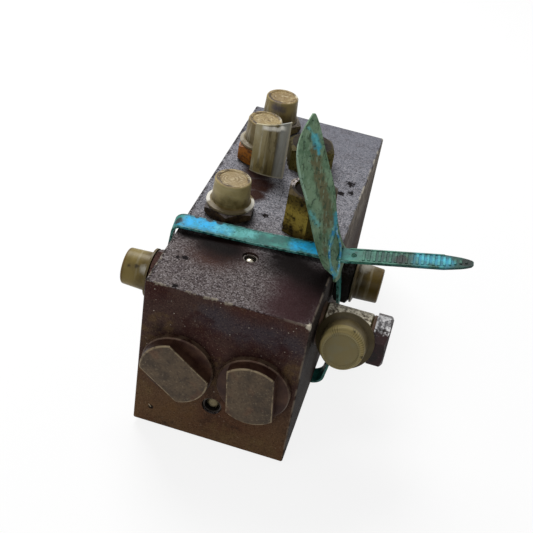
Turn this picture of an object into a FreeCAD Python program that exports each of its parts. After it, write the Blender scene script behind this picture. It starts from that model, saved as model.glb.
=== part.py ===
"""Dual hydraulic pedal valve: a drilled steel block with two spools, their plungers and springs,
screw plugs, hose adapters with slip-on protective caps, a banjo outlet, a pressure switch
and a slack marker tie with its leaf-shaped flag.

Millimetres. The origin is the centre of the block's underside, +Z is up, +Y runs from the
screw plugs at the front to the two pedal plungers at the rear, +X is to the right."""
import FreeCAD
import Part
import math
import os

from FreeCAD import Placement, Rotation, Vector

# Valve block
BLOCK_WIDTH = 80.0
BLOCK_LENGTH = 190.0
BLOCK_HEIGHT = 90.0
BLOCK_EDGE = 1.0
SPOOL_SPACING = 38.4
SPOOL_HEIGHT = 45.0
GALLEY_HEIGHT = 23.9
GALLEY_RADIUS = 3.6
GALLEY_END = 146.0
DRILL_RADIUS = 3.0

# Spools and their springs, along the bore from the front face
SPOOL_RADIUS = 9.0
SPOOL_CLEARANCE = 0.03
GROOVE_RADIUS = 6.2
SPRING_CHAMBER_RADIUS = 12.2
SPOOL_BORE_START = 40.0
SPOOL_BORE_END = 146.0
SPOOL_OVERHANG = 2.0
SPOOL_NOSE_RADIUS = 5.6
SPOOL_NOSE_LENGTH = 9.0
RETURN_WIRE = 1.2
RETURN_TURNS = 5
METERING_WIRE = 1.5
METERING_TURNS = 4
SPRING_MEAN_RADIUS = 7.3

# Front screw plugs
PLUG_HEIGHT = SPOOL_HEIGHT
PLUG_THREAD_RADIUS = 15.0
PLUG_THREAD_LENGTH = 16.0
PLUG_COLLAR_RADIUS = 18.2
PLUG_COLLAR_THICKNESS = 3.2
PLUG_HEAD_RADIUS = 17.4
PLUG_HEAD_LENGTH = 5.3
PLUG_ACROSS_FLATS = 23.0
PLUG_FLAT_TURNS = {"left": -37.8, "right": -84.4}
PLUG_CUP_RADIUS = 9.4
PLUG_CUP_DEPTH = 6.0
THREAD_CLEARANCE = 0.1
O_RING_SECTION = 1.1
O_RING_SQUEEZE = 0.04

# Rear guide bushes and plungers
BUSH_THREAD_RADIUS = 15.5
BUSH_THREAD_LENGTH = 14.0
BUSH_ACROSS_FLATS = 36.0
BUSH_HEAD_LENGTH = 8.0
PLUNGER_RADIUS = 8.0
PLUNGER_CLEARANCE = 0.04
PLUNGER_PROUD = 14.0
PLUNGER_TIP_RADIUS = 14.0
SPRING_SEAT_RADIUS = 11.2
SPRING_SEAT_THICKNESS = 4.0
SEAL_OUTER_RADIUS = 10.6
SEAL_WIDTH = 3.0
WIPER_WIDTH = 3.2

# Pressed ball plugs
FRONT_BALL_BORE = 5.1
TOP_BALL_BORE = 4.1
BALL_PLUG_SLEEVE = 1.0
BALL_PLUG_DEPTH = 9.5
BALL_PLUG_SUNK = 1.0
TOP_BALL_FROM_FRONT = 38.8

# Ports: distance from the front face, place across the face, and hexagon height
STUD_RADIUS = 8.9
STUD_LENGTH = 8.5
PORT_DEPTH = 10.0
HEX_ACROSS_FLATS = 24.0
SPOT_RADIUS = 12.6
SEAL_THICKNESS = 1.6
SEAL_OUTER = 12.2
STUB_RADIUS = 7.95
STUB_LENGTH = 11.5
FLOW_RADIUS = 3.5
CONE_MOUTH_RADIUS = 5.6
TOP_ROW_X = -21.5
TOP_PORTS = {
    "top_front": (72.5, 5.6),
    "top_middle": (131.5, 10.4),
    "top_rear": (171.5, 5.6),
}
LEFT_PORT = (31.6, 69.8, 6.0)
RIGHT_PORT = (82.0, 62.4, 9.0)

# Slip-on caps
CAP_WALL = 0.9
CAP_TOP_THICKNESS = 1.3
CAP_LENGTH = 14.3
CAP_TOP_RADIUS = 9.25
CAP_MOUTH_RADIUS = 10.0
CAP_RIM_RADIUS = 12.4
CAP_RIM_THICKNESS = 1.0
CAP_GAP = 0.1
PLAIN_CAP_RIM = 10.6

# Banjo outlet on the right face
BANJO_FROM_FRONT = 40.0
BANJO_HEIGHT = 61.5
BANJO_TILT = 19.0
BANJO_EYE_RADIUS = 11.6
BANJO_EYE_LENGTH = 24.0
BANJO_BORE_RADIUS = 9.4
BANJO_NECK_RADIUS = 10.6
BANJO_STUB_RADIUS = 9.0
BANJO_STUB_END = 24.5
BANJO_BOLT_RADIUS = 7.9
BANJO_BOLT_HEAD = 8.0
BANJO_WASHER = 1.5
BANJO_OUTLET_SHIFT = 1.3
BANJO_CAP_FOOT = 13.75
BANJO_CAP_LENGTH = 12.9
BANJO_CAP_SCALE = 1.16

# Pressure switch and hexagon plug at the top right
SWITCH_X = 19.2
SWITCH_FROM_FRONT = 76.0
SWITCH_HEIGHT = 24.0
SWITCH_CUP_RADIUS = 9.6
SWITCH_CUP_DEPTH = 4.0
HEX_PLUG_X = 5.4
HEX_PLUG_FROM_FRONT = 138.2
HEX_PLUG_HEIGHT = 13.5
HEX_PLUG_TURN = 12.0
CAMERA_SIDE_TURN = -82.6

# Torn sleeve of plastic in front of the middle cap
SLEEVE_X = -13.6
SLEEVE_FROM_FRONT = 114.2
SLEEVE_WIDTH = 19.2
SLEEVE_RADIUS = 26.0
SLEEVE_WALL = 1.1
SLEEVE_LEFT_HEIGHT = 29.0
SLEEVE_MIDDLE_HEIGHT = 31.5
SLEEVE_RIGHT_HEIGHT = 35.0

# Marker tie
TIE_THICKNESS = 1.3
TIE_WIDTH = 9.5
TIE_TURN = 5.9
TIE_TILT = 8.5
TIE_FROM_FRONT = 52.9
TIE_GAP = 0.1
TIE_TAIL_REACH = 104.6
TIE_TAIL_RISE = 12.4
TIE_TIP = 14.0
FLAG_THICKNESS = 1.4
FLAG_FOOT_OUT = 2.6
FLAG_FOOT_DROP = 8.0
FLAG_SLOT_CLEARANCE = 0.6

# Bracket holes in the rear face
BRACKET_SPACING_X = 64.0
BRACKET_SPACING_Z = 60.0
BRACKET_HOLE_RADIUS = 4.1
BRACKET_HOLE_DEPTH = 14.0

UP = Vector(0, 0, 1)
REARWARD = Vector(0, 1, 0)
FORWARD = Vector(0, -1, 0)
RIGHTWARD = Vector(1, 0, 0)
LEFTWARD = Vector(-1, 0, 0)

FRONT = -BLOCK_LENGTH / 2
REAR = BLOCK_LENGTH / 2
SPOOL_X = {"left": -SPOOL_SPACING / 2, "right": SPOOL_SPACING / 2}


def behind_front(distance):
    """The Y of a point this far behind the block's front face."""
    return FRONT + distance


def rod(radius, length, start=Vector(0, 0, 0), axis=UP):
    return Part.makeCylinder(radius, length, start, axis)


def tube(outer, inner, length, start=Vector(0, 0, 0), axis=UP):
    return rod(outer, length, start, axis).cut(rod(inner, length, start, axis))


def revolved(points, arcs=()):
    """A solid turned about Z from an outline of (radius, height) points.
    An arc is (index, middle radius, middle height): the edge from that point is bent through it."""
    middles = {index: Vector(r, 0, z) for index, r, z in arcs}
    corners = [Vector(r, 0, z) for r, z in points]
    edges = []
    for index, corner in enumerate(corners):
        following = corners[(index + 1) % len(corners)]
        if index in middles:
            edges.append(Part.Arc(corner, middles[index], following).toShape())
        else:
            edges.append(Part.makeLine(corner, following))
    face = Part.Face(Part.Wire(edges))
    return face.revolve(Vector(0, 0, 0), UP, 360)


def placed(shape, start, axis, turn=0.0):
    """Stands a shape that was built along +Z at a point, along an axis, turned about itself."""
    shape = shape.copy()
    lean = Rotation(UP, axis)
    spin = Rotation(UP, turn)
    shape.Placement = Placement(start, lean.multiply(spin)).multiply(shape.Placement)
    return shape


def chamfered_hexagon(across_flats, height, bevel=0.9, both=False):
    """A hexagon bar with its corners turned off at the top, and at the bottom if asked."""
    corner = across_flats / math.sqrt(3)
    points = [Vector(corner * math.cos(math.radians(60 * k)), corner * math.sin(math.radians(60 * k)), 0)
              for k in range(7)]
    bar = Part.Face(Part.makePolygon(points)).extrude(Vector(0, 0, height))
    reach = corner + 1
    drop = (reach - across_flats / 2 + bevel) * math.tan(math.radians(30))
    outline = [(0, 0), (reach, 0), (reach, height - drop), (across_flats / 2 - bevel, height), (0, height)]
    if both:
        outline = [(0, 0), (across_flats / 2 - bevel, 0), (reach, drop), (reach, height - drop),
                   (across_flats / 2 - bevel, height), (0, height)]
    return bar.common(revolved(outline))


def coil_spring(mean_radius, wire, length, turns):
    """A helical spring along +Z from 0 to its length, with the wire's outside at both ends."""
    height = length - 2 * wire
    path = Part.makeHelix(height / turns, height, mean_radius)
    ring = Part.Wire(Part.makeCircle(wire, Vector(mean_radius, 0, 0), Vector(0, 1, 0)))
    coil = Part.Wire(path.Edges).makePipeShell([ring], True, True)
    coil.translate(Vector(0, 0, wire))
    return coil


def straight_drilling(start, target, radius):
    way = target.sub(start)
    return rod(radius, way.Length, start, way)


# The ports, each as a seat point on the block's face and the way its fitting stands


def port_seats():
    seats = {}
    for name, (distance, height) in TOP_PORTS.items():
        seats[name] = (Vector(TOP_ROW_X, behind_front(distance), BLOCK_HEIGHT), UP, height)
    distance, level, height = LEFT_PORT
    seats["left_side"] = (Vector(-BLOCK_WIDTH / 2, behind_front(distance), level), LEFTWARD, height)
    distance, level, height = RIGHT_PORT
    seats["right_side"] = (Vector(BLOCK_WIDTH / 2, behind_front(distance), level), RIGHTWARD, height)
    return seats


def switch_seat():
    return Vector(SWITCH_X, behind_front(SWITCH_FROM_FRONT), BLOCK_HEIGHT)


def hex_plug_seat():
    return Vector(HEX_PLUG_X, behind_front(HEX_PLUG_FROM_FRONT), BLOCK_HEIGHT)


def banjo_centre():
    """The middle of the banjo's eye."""
    x = BLOCK_WIDTH / 2 + BANJO_WASHER + BANJO_EYE_LENGTH / 2
    return Vector(x, behind_front(BANJO_FROM_FRONT), BANJO_HEIGHT)


def banjo_outlet_centre():
    """Where the outlet's axis leaves the bolt's axis."""
    return banjo_centre().add(Vector(BANJO_OUTLET_SHIFT, 0, 0))


def banjo_outlet():
    """The way the banjo's outlet points: forwards and a little up."""
    lean = math.radians(BANJO_TILT)
    return Vector(0, -math.cos(lean), math.sin(lean))


def threaded_port(seat, axis):
    """The hole for one screwed-in stud, with a spot face that sinks its bonded seal."""
    inward = axis.negative()
    hole = rod(STUD_RADIUS + THREAD_CLEARANCE, PORT_DEPTH, seat, inward)
    spot = rod(SPOT_RADIUS, SEAL_THICKNESS, seat, inward)
    return hole.fuse(spot)


def spool_bore(x):
    """All that is turned out along one spool's axis, front to rear."""
    steps = [
        (0, PLUG_THREAD_LENGTH, PLUG_THREAD_RADIUS + THREAD_CLEARANCE),
        (PLUG_THREAD_LENGTH, SPOOL_BORE_START, SPRING_CHAMBER_RADIUS),
        (SPOOL_BORE_START, SPOOL_BORE_END, SPOOL_RADIUS + SPOOL_CLEARANCE),
        (SPOOL_BORE_END, BLOCK_LENGTH - BUSH_THREAD_LENGTH, SPRING_CHAMBER_RADIUS),
        (BLOCK_LENGTH - BUSH_THREAD_LENGTH, BLOCK_LENGTH, BUSH_THREAD_RADIUS + THREAD_CLEARANCE),
        (0, 2 * O_RING_SECTION, PLUG_THREAD_RADIUS + 2 * O_RING_SECTION),
    ]
    for distance in gallery_places():
        steps.append((distance - 4, distance + 4, SPOOL_RADIUS + 3.6))
    shape = None
    for start, end, radius in steps:
        step = rod(radius, end - start, Vector(x, behind_front(start), SPOOL_HEIGHT), REARWARD)
        shape = step if shape is None else shape.fuse(step)
    return shape


def gallery_places():
    """The ring galleries around each spool, where the ports come in."""
    return [TOP_PORTS["top_front"][0], RIGHT_PORT[0] + 17, TOP_PORTS["top_middle"][0]]


def oilways():
    """The drillings between the ports and the bores."""
    cuts = []
    for name, (distance, height) in TOP_PORTS.items():
        top = Vector(TOP_ROW_X, behind_front(distance), BLOCK_HEIGHT - PORT_DEPTH)
        cuts.append(straight_drilling(top, Vector(TOP_ROW_X, top.y, SPOOL_HEIGHT), DRILL_RADIUS))
    for side, (distance, level, height) in (("left", LEFT_PORT), ("right", RIGHT_PORT)):
        sign = -1 if side == "left" else 1
        start = Vector(sign * (BLOCK_WIDTH / 2 - PORT_DEPTH), behind_front(distance), level)
        target = Vector(SPOOL_X[side], behind_front(distance), SPOOL_HEIGHT)
        cuts.append(straight_drilling(start, target, DRILL_RADIUS))
    banjo = banjo_centre()
    start = Vector(BLOCK_WIDTH / 2 - PORT_DEPTH, banjo.y, banjo.z)
    cuts.append(straight_drilling(start, Vector(SPOOL_X["right"], behind_front(30), SPOOL_HEIGHT), DRILL_RADIUS))
    switch = switch_seat()
    bottom = Vector(switch.x, switch.y, SPOOL_HEIGHT)
    cuts.append(straight_drilling(switch, bottom, DRILL_RADIUS * 0.7))
    plug = hex_plug_seat()
    cuts.append(straight_drilling(plug, Vector(plug.x, plug.y, GALLEY_HEIGHT), DRILL_RADIUS * 0.8))
    galley = Vector(0, FRONT, GALLEY_HEIGHT)
    cuts.append(rod(GALLEY_RADIUS, GALLEY_END, galley, REARWARD))
    cuts.append(rod(FRONT_BALL_BORE, BALL_PLUG_DEPTH + BALL_PLUG_SUNK, galley, REARWARD))
    top = Vector(0, behind_front(TOP_BALL_FROM_FRONT), BLOCK_HEIGHT)
    cuts.append(straight_drilling(top, Vector(0, top.y, GALLEY_HEIGHT), DRILL_RADIUS))
    cuts.append(rod(TOP_BALL_BORE, BALL_PLUG_DEPTH + BALL_PLUG_SUNK, top, UP.negative()))
    return cuts


def bracket_holes():
    cuts = []
    for x in (-BRACKET_SPACING_X / 2, BRACKET_SPACING_X / 2):
        for z in (-BRACKET_SPACING_Z / 2, BRACKET_SPACING_Z / 2):
            mouth = Vector(x, REAR, BLOCK_HEIGHT / 2 + z)
            cuts.append(rod(BRACKET_HOLE_RADIUS, BRACKET_HOLE_DEPTH, mouth, FORWARD))
    return cuts


def valve_block():
    corner = Vector(-BLOCK_WIDTH / 2, FRONT, 0)
    block = Part.makeBox(BLOCK_WIDTH, BLOCK_LENGTH, BLOCK_HEIGHT, corner)
    block = block.makeFillet(BLOCK_EDGE, block.Edges)
    cuts = [spool_bore(x) for x in SPOOL_X.values()]
    for seat, axis, height in port_seats().values():
        cuts.append(threaded_port(seat, axis))
    cuts.append(threaded_port(switch_seat(), UP))
    cuts.append(threaded_port(hex_plug_seat(), UP))
    banjo_face = Vector(BLOCK_WIDTH / 2, banjo_centre().y, BANJO_HEIGHT)
    cuts.append(rod(BANJO_BOLT_RADIUS + THREAD_CLEARANCE, PORT_DEPTH, banjo_face, LEFTWARD))
    cuts += oilways()
    cuts += bracket_holes()
    return block.cut(cuts)


def front_plug(side):
    """A screw plug: a threaded cup, a round collar and a disc head with two spanner flats."""
    groove = PLUG_THREAD_RADIUS - 0.4
    seal_room = 2 * O_RING_SECTION
    turned = revolved([
        (0, PLUG_CUP_DEPTH - PLUG_THREAD_LENGTH),
        (PLUG_CUP_RADIUS, PLUG_CUP_DEPTH - PLUG_THREAD_LENGTH),
        (PLUG_CUP_RADIUS, -PLUG_THREAD_LENGTH),
        (PLUG_THREAD_RADIUS - 1, -PLUG_THREAD_LENGTH),
        (PLUG_THREAD_RADIUS, 1 - PLUG_THREAD_LENGTH),
        (PLUG_THREAD_RADIUS, -seal_room),
        (groove, -seal_room),
        (groove, 0),
        (PLUG_COLLAR_RADIUS, 0),
        (PLUG_COLLAR_RADIUS, PLUG_COLLAR_THICKNESS - 0.6),
        (PLUG_COLLAR_RADIUS - 0.6, PLUG_COLLAR_THICKNESS),
        (0, PLUG_COLLAR_THICKNESS),
    ])
    head = revolved([
        (0, 0),
        (PLUG_HEAD_RADIUS, 0),
        (PLUG_HEAD_RADIUS, PLUG_HEAD_LENGTH - 0.5),
        (PLUG_HEAD_RADIUS - 0.5, PLUG_HEAD_LENGTH),
        (0, PLUG_HEAD_LENGTH),
    ])
    reach = 2 * PLUG_HEAD_RADIUS
    slab = Part.makeBox(reach, PLUG_ACROSS_FLATS, PLUG_HEAD_LENGTH,
                        Vector(-reach / 2, -PLUG_ACROSS_FLATS / 2, 0))
    head = head.common(slab)
    head.translate(Vector(0, 0, PLUG_COLLAR_THICKNESS))
    plug = turned.fuse(head)
    mouth = Vector(SPOOL_X[side], FRONT, PLUG_HEIGHT)
    facing = Rotation(RIGHTWARD, 90)
    spin = Rotation(UP, PLUG_FLAT_TURNS[side])
    plug.Placement = Placement(mouth, facing.multiply(spin)).multiply(plug.Placement)
    return plug


def plug_seal(side):
    """The O-ring under a front plug's collar."""
    middle = PLUG_THREAD_RADIUS - 0.4 + O_RING_SECTION + O_RING_SQUEEZE
    ring = Part.makeTorus(middle, O_RING_SECTION - O_RING_SQUEEZE)
    return placed(ring, Vector(SPOOL_X[side], FRONT + O_RING_SECTION, PLUG_HEIGHT), FORWARD)


def spool(side):
    """A valve spool: lands with pressure grooves, a waisted stem and a spring nose at the front."""
    length = SPOOL_BORE_END + SPOOL_OVERHANG - SPOOL_BORE_START
    waists = []
    for distance in gallery_places():
        middle = SPOOL_BORE_END + SPOOL_OVERHANG - distance
        waists.append((middle - 7, middle + 5))
    waists.sort()
    outline = [(0, 0), (SPOOL_RADIUS - 0.5, 0), (SPOOL_RADIUS, 0.5)]
    for low, high in waists:
        outline += [(SPOOL_RADIUS, low), (GROOVE_RADIUS, low), (GROOVE_RADIUS, high), (SPOOL_RADIUS, high)]
    nose = length + SPOOL_NOSE_LENGTH
    outline += [(SPOOL_RADIUS, length - 0.5), (SPOOL_RADIUS - 0.5, length), (SPOOL_NOSE_RADIUS, length),
                (SPOOL_NOSE_RADIUS, nose - 1), (SPOOL_NOSE_RADIUS - 1, nose), (0, nose)]
    body = revolved(outline)
    lowest = waists[0][0]
    land_gaps = [(0.5, lowest)] + [(waists[k][1], waists[k + 1][0]) for k in range(len(waists) - 1)]
    for low, high in land_gaps:
        for share in (0.35, 0.65):
            level = low + (high - low) * share
            body = body.cut(tube(SPOOL_RADIUS + 1, SPOOL_RADIUS - 0.5, 0.8, Vector(0, 0, level)))
    end = Vector(SPOOL_X[side], behind_front(SPOOL_BORE_END + SPOOL_OVERHANG), SPOOL_HEIGHT)
    return placed(body, end, FORWARD)


def return_spring(side):
    start = PLUG_THREAD_LENGTH - PLUG_CUP_DEPTH
    length = SPOOL_BORE_START - start
    coil = coil_spring(SPRING_MEAN_RADIUS, RETURN_WIRE, length, RETURN_TURNS)
    return placed(coil, Vector(SPOOL_X[side], behind_front(start), SPOOL_HEIGHT), REARWARD)


def plunger_seat_front():
    """How far behind the front face the plunger's spring seat begins."""
    return BLOCK_LENGTH - BUSH_THREAD_LENGTH - SPRING_SEAT_THICKNESS


def metering_spring(side):
    start = SPOOL_BORE_END + SPOOL_OVERHANG
    coil = coil_spring(SPRING_MEAN_RADIUS, METERING_WIRE, plunger_seat_front() - start, METERING_TURNS)
    return placed(coil, Vector(SPOOL_X[side], behind_front(start), SPOOL_HEIGHT), REARWARD)


def plunger(side):
    """A pedal plunger: spring nose, seat disc, ground shaft and a domed tip."""
    seat = SPRING_SEAT_THICKNESS
    tip = seat + BUSH_THREAD_LENGTH + BUSH_HEAD_LENGTH + PLUNGER_PROUD
    dome = PLUNGER_TIP_RADIUS - math.sqrt(PLUNGER_TIP_RADIUS ** 2 - PLUNGER_RADIUS ** 2)
    nose = SPRING_MEAN_RADIUS - METERING_WIRE - 0.4
    half = PLUNGER_RADIUS / 2
    bulge = PLUNGER_TIP_RADIUS - math.sqrt(PLUNGER_TIP_RADIUS ** 2 - half ** 2)
    body = revolved([
        (0, -5),
        (nose - 1, -5),
        (nose, -4),
        (nose, 0),
        (SPRING_SEAT_RADIUS, 0),
        (SPRING_SEAT_RADIUS, seat),
        (PLUNGER_RADIUS, seat),
        (PLUNGER_RADIUS, tip - dome),
        (0, tip),
    ], arcs=[(7, half, tip - bulge)])
    start = Vector(SPOOL_X[side], behind_front(plunger_seat_front()), SPOOL_HEIGHT)
    return placed(body, start, REARWARD)


def guide_bush(side):
    """A screwed guide bush with a hexagon head, a seal groove and a wiper counterbore."""
    total = BUSH_THREAD_LENGTH + BUSH_HEAD_LENGTH
    head = chamfered_hexagon(BUSH_ACROSS_FLATS, BUSH_HEAD_LENGTH, bevel=0.6)
    head.translate(Vector(0, 0, BUSH_THREAD_LENGTH))
    bush = head.fuse(rod(BUSH_THREAD_RADIUS, BUSH_THREAD_LENGTH))
    bush = bush.cut(rod(PLUNGER_RADIUS + PLUNGER_CLEARANCE, total))
    bush = bush.cut(rod(SEAL_OUTER_RADIUS, SEAL_WIDTH, seal_place()))
    bush = bush.cut(rod(SEAL_OUTER_RADIUS, WIPER_WIDTH, wiper_place()))
    start = Vector(SPOOL_X[side], behind_front(BLOCK_LENGTH - BUSH_THREAD_LENGTH), SPOOL_HEIGHT)
    return placed(bush, start, REARWARD, 90)


def seal_place():
    return Vector(0, 0, BUSH_THREAD_LENGTH / 2)


def wiper_place():
    return Vector(0, 0, BUSH_THREAD_LENGTH + BUSH_HEAD_LENGTH - WIPER_WIDTH)


def rod_seal(side):
    """The lip seal in the bush's inner groove."""
    inner = PLUNGER_RADIUS + PLUNGER_CLEARANCE
    ring = revolved([
        (inner, 0.1), (SEAL_OUTER_RADIUS - 0.05, 0.1), (SEAL_OUTER_RADIUS - 0.05, SEAL_WIDTH - 0.1),
        (inner + 1.2, SEAL_WIDTH - 0.1), (inner + 0.8, SEAL_WIDTH / 2), (inner, SEAL_WIDTH - 0.5),
    ])
    ring.translate(seal_place())
    start = Vector(SPOOL_X[side], behind_front(BLOCK_LENGTH - BUSH_THREAD_LENGTH), SPOOL_HEIGHT)
    return placed(ring, start, REARWARD)


def wiper(side):
    """The scraper ring in the bush's mouth, with its lip standing proud around the plunger."""
    inner = PLUNGER_RADIUS + PLUNGER_CLEARANCE
    ring = revolved([
        (inner + 0.4, 0.05), (SEAL_OUTER_RADIUS - 0.05, 0.05), (SEAL_OUTER_RADIUS - 0.05, WIPER_WIDTH),
        (inner + 1.0, WIPER_WIDTH), (inner + 0.5, WIPER_WIDTH + 1.2), (inner, WIPER_WIDTH + 1.2),
    ])
    ring.translate(wiper_place())
    start = Vector(SPOOL_X[side], behind_front(BLOCK_LENGTH - BUSH_THREAD_LENGTH), SPOOL_HEIGHT)
    return placed(ring, start, REARWARD)


def ball_plug(mouth, axis, bore):
    """A pressed plug in two pieces: a cup-shaped sleeve and the ball that spreads it."""
    outer = bore - 0.03
    inner = outer - BALL_PLUG_SLEEVE
    sleeve = revolved([
        (0, 0), (outer, 0), (outer, BALL_PLUG_DEPTH - 0.4), (outer - 0.4, BALL_PLUG_DEPTH),
        (inner, BALL_PLUG_DEPTH), (inner, 0.8), (0, 0.8),
    ])
    ball_radius = inner - 0.02
    ball = Part.makeSphere(ball_radius, Vector(0, 0, BALL_PLUG_DEPTH - ball_radius - 0.3))
    floor = mouth.sub(Vector(axis).multiply(BALL_PLUG_DEPTH + BALL_PLUG_SUNK))
    return placed(sleeve, floor, axis), placed(ball, floor, axis)


def adapter(height, seat, axis, turn):
    """A screwed hose adapter: stud, hexagon, and a threaded stub with its inner cone."""
    hexagon = chamfered_hexagon(HEX_ACROSS_FLATS, height, both=True)
    stud = revolved([
        (0, -STUD_LENGTH), (STUD_RADIUS - 0.8, -STUD_LENGTH), (STUD_RADIUS, 0.8 - STUD_LENGTH),
        (STUD_RADIUS, 0), (0, 0),
    ])
    stub = revolved([
        (0, height), (STUB_RADIUS - 0.8, height), (STUB_RADIUS - 0.8, height + 1.6),
        (STUB_RADIUS, height + 2.2), (STUB_RADIUS, height + STUB_LENGTH - 1),
        (STUB_RADIUS - 0.9, height + STUB_LENGTH), (0, height + STUB_LENGTH),
    ])
    body = hexagon.fuse([stud, stub])
    cone_depth = (CONE_MOUTH_RADIUS - FLOW_RADIUS) / math.tan(math.radians(12))
    way = revolved([
        (0, -STUD_LENGTH - 1), (FLOW_RADIUS, -STUD_LENGTH - 1),
        (FLOW_RADIUS, height + STUB_LENGTH - cone_depth), (CONE_MOUTH_RADIUS, height + STUB_LENGTH),
        (CONE_MOUTH_RADIUS, height + STUB_LENGTH + 1), (0, height + STUB_LENGTH + 1),
    ])
    return placed(body.cut(way), seat, axis, turn)


def bonded_seal(seat, axis):
    """The washer with a rubber lip that sits sunk under a hexagon."""
    ring = revolved([
        (STUD_RADIUS + 0.12, -SEAL_THICKNESS + 0.5), (STUD_RADIUS + 0.9, -SEAL_THICKNESS),
        (SEAL_OUTER, -SEAL_THICKNESS), (SEAL_OUTER, 0),
        (STUD_RADIUS + 0.9, 0), (STUD_RADIUS + 0.12, -0.5),
    ])
    return placed(ring, seat, axis)


def cap(foot, axis, rim=CAP_RIM_RADIUS, scale=1.0, length=CAP_LENGTH):
    """A slip-on protective cap: a slightly tapered cup with a flared rim and a dished top."""
    top = CAP_TOP_RADIUS * scale
    mouth = CAP_MOUTH_RADIUS * scale
    flare = max(rim, mouth)
    inside = length - CAP_TOP_THICKNESS
    slope = (mouth - top) / length
    low = CAP_RIM_THICKNESS + 0.8
    outline = [
        (mouth - CAP_WALL, 0),
        (flare, 0),
        (flare, CAP_RIM_THICKNESS),
        (mouth - slope * low, low),
        (top + slope, length - 1),
        (top - 1, length),
        (top - 2, length),
        (top - 2.6, length - 0.4),
        (0, length - 0.4),
        (0, inside),
        (top - CAP_WALL - 0.6, inside),
        (top - CAP_WALL, inside - 0.6),
    ]
    bend = [(4, top + slope - 0.3, length - 0.3)]
    shell = revolved(outline, arcs=bend)
    lifted = foot.add(Vector(axis).multiply(CAP_GAP))
    return placed(shell, lifted, axis)


def banjo_body():
    """The swivel eye around the bolt with its outlet stub: turned forms that meet in a forged neck."""
    centre = banjo_centre()
    outlet = banjo_outlet()
    start = centre.sub(Vector(BANJO_EYE_LENGTH / 2, 0, 0))
    eye = revolved([
        (0, 0), (BANJO_EYE_RADIUS - 1, 0), (BANJO_EYE_RADIUS, 1),
        (BANJO_EYE_RADIUS, BANJO_EYE_LENGTH - 1), (BANJO_EYE_RADIUS - 1, BANJO_EYE_LENGTH),
        (0, BANJO_EYE_LENGTH),
    ])
    eye = placed(eye, start, RIGHTWARD)
    stub = revolved([
        (0, 0), (BANJO_NECK_RADIUS, 0), (BANJO_NECK_RADIUS, BANJO_EYE_RADIUS - 1.2),
        (BANJO_STUB_RADIUS - 0.8, BANJO_EYE_RADIUS + 0.2), (BANJO_STUB_RADIUS - 0.8, BANJO_EYE_RADIUS + 1.4),
        (BANJO_STUB_RADIUS, BANJO_EYE_RADIUS + 2.0), (BANJO_STUB_RADIUS, BANJO_STUB_END - 1),
        (BANJO_STUB_RADIUS - 0.9, BANJO_STUB_END), (0, BANJO_STUB_END),
    ])
    stub_centre = banjo_outlet_centre()
    stub = placed(stub, stub_centre, outlet)
    cone_depth = (CONE_MOUTH_RADIUS - FLOW_RADIUS) / math.tan(math.radians(12))
    way = revolved([
        (0, 0), (FLOW_RADIUS, 0), (FLOW_RADIUS, BANJO_STUB_END - cone_depth),
        (CONE_MOUTH_RADIUS, BANJO_STUB_END), (CONE_MOUTH_RADIUS, BANJO_STUB_END + 1),
        (0, BANJO_STUB_END + 1),
    ])
    way = placed(way, stub_centre, outlet)
    bore = rod(BANJO_BOLT_RADIUS + 0.15, BANJO_EYE_LENGTH, start, RIGHTWARD)
    ring_start = centre.sub(Vector(5, 0, 0))
    oil_ring = rod(BANJO_BORE_RADIUS, 10, ring_start, RIGHTWARD)
    return eye.fuse(stub).cut([way, bore, oil_ring])


def banjo_bolt():
    """The hollow bolt that clamps the banjo's eye, with its cross drilling."""
    grip = BANJO_EYE_LENGTH + 2 * BANJO_WASHER
    shank = revolved([
        (0, -STUD_LENGTH), (BANJO_BOLT_RADIUS - 0.8, -STUD_LENGTH),
        (BANJO_BOLT_RADIUS, 0.8 - STUD_LENGTH), (BANJO_BOLT_RADIUS, grip), (0, grip),
    ])
    head = chamfered_hexagon(HEX_ACROSS_FLATS, BANJO_BOLT_HEAD)
    head.translate(Vector(0, 0, grip))
    middle = grip / 2
    bolt = shank.fuse(head)
    bolt = bolt.cut(rod(FLOW_RADIUS, middle + STUD_LENGTH + 3, Vector(0, 0, -STUD_LENGTH)))
    reach = 2 * BANJO_BOLT_RADIUS + 2
    bolt = bolt.cut(rod(2.5, reach, Vector(-reach / 2, 0, middle), RIGHTWARD))
    face = Vector(BLOCK_WIDTH / 2, banjo_centre().y, BANJO_HEIGHT)
    return placed(bolt, face, RIGHTWARD)


def banjo_washer(inner_side):
    """A copper sealing ring beside the banjo's eye."""
    x = BLOCK_WIDTH / 2
    if not inner_side:
        x += BANJO_WASHER + BANJO_EYE_LENGTH
    ring = tube(BANJO_EYE_RADIUS - 0.4, BANJO_BOLT_RADIUS + 0.15, BANJO_WASHER)
    return placed(ring, Vector(x, banjo_centre().y, BANJO_HEIGHT), RIGHTWARD)


def stud(seat):
    return rod(STUD_RADIUS, STUD_LENGTH, seat, UP.negative())


def pressure_switch_body():
    """The switch's hexagon can: a tall hexagon with a crimped cup at its top."""
    seat = switch_seat()
    body = chamfered_hexagon(HEX_ACROSS_FLATS, SWITCH_HEIGHT)
    body = placed(body, seat, UP, CAMERA_SIDE_TURN)
    cup = rod(SWITCH_CUP_RADIUS, SWITCH_CUP_DEPTH, Vector(seat.x, seat.y, seat.z + SWITCH_HEIGHT), UP.negative())
    bore = rod(DRILL_RADIUS * 0.7, STUD_LENGTH + 6, Vector(seat.x, seat.y, seat.z - STUD_LENGTH))
    return body.fuse(stud(seat)).cut([cup, bore])


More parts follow.
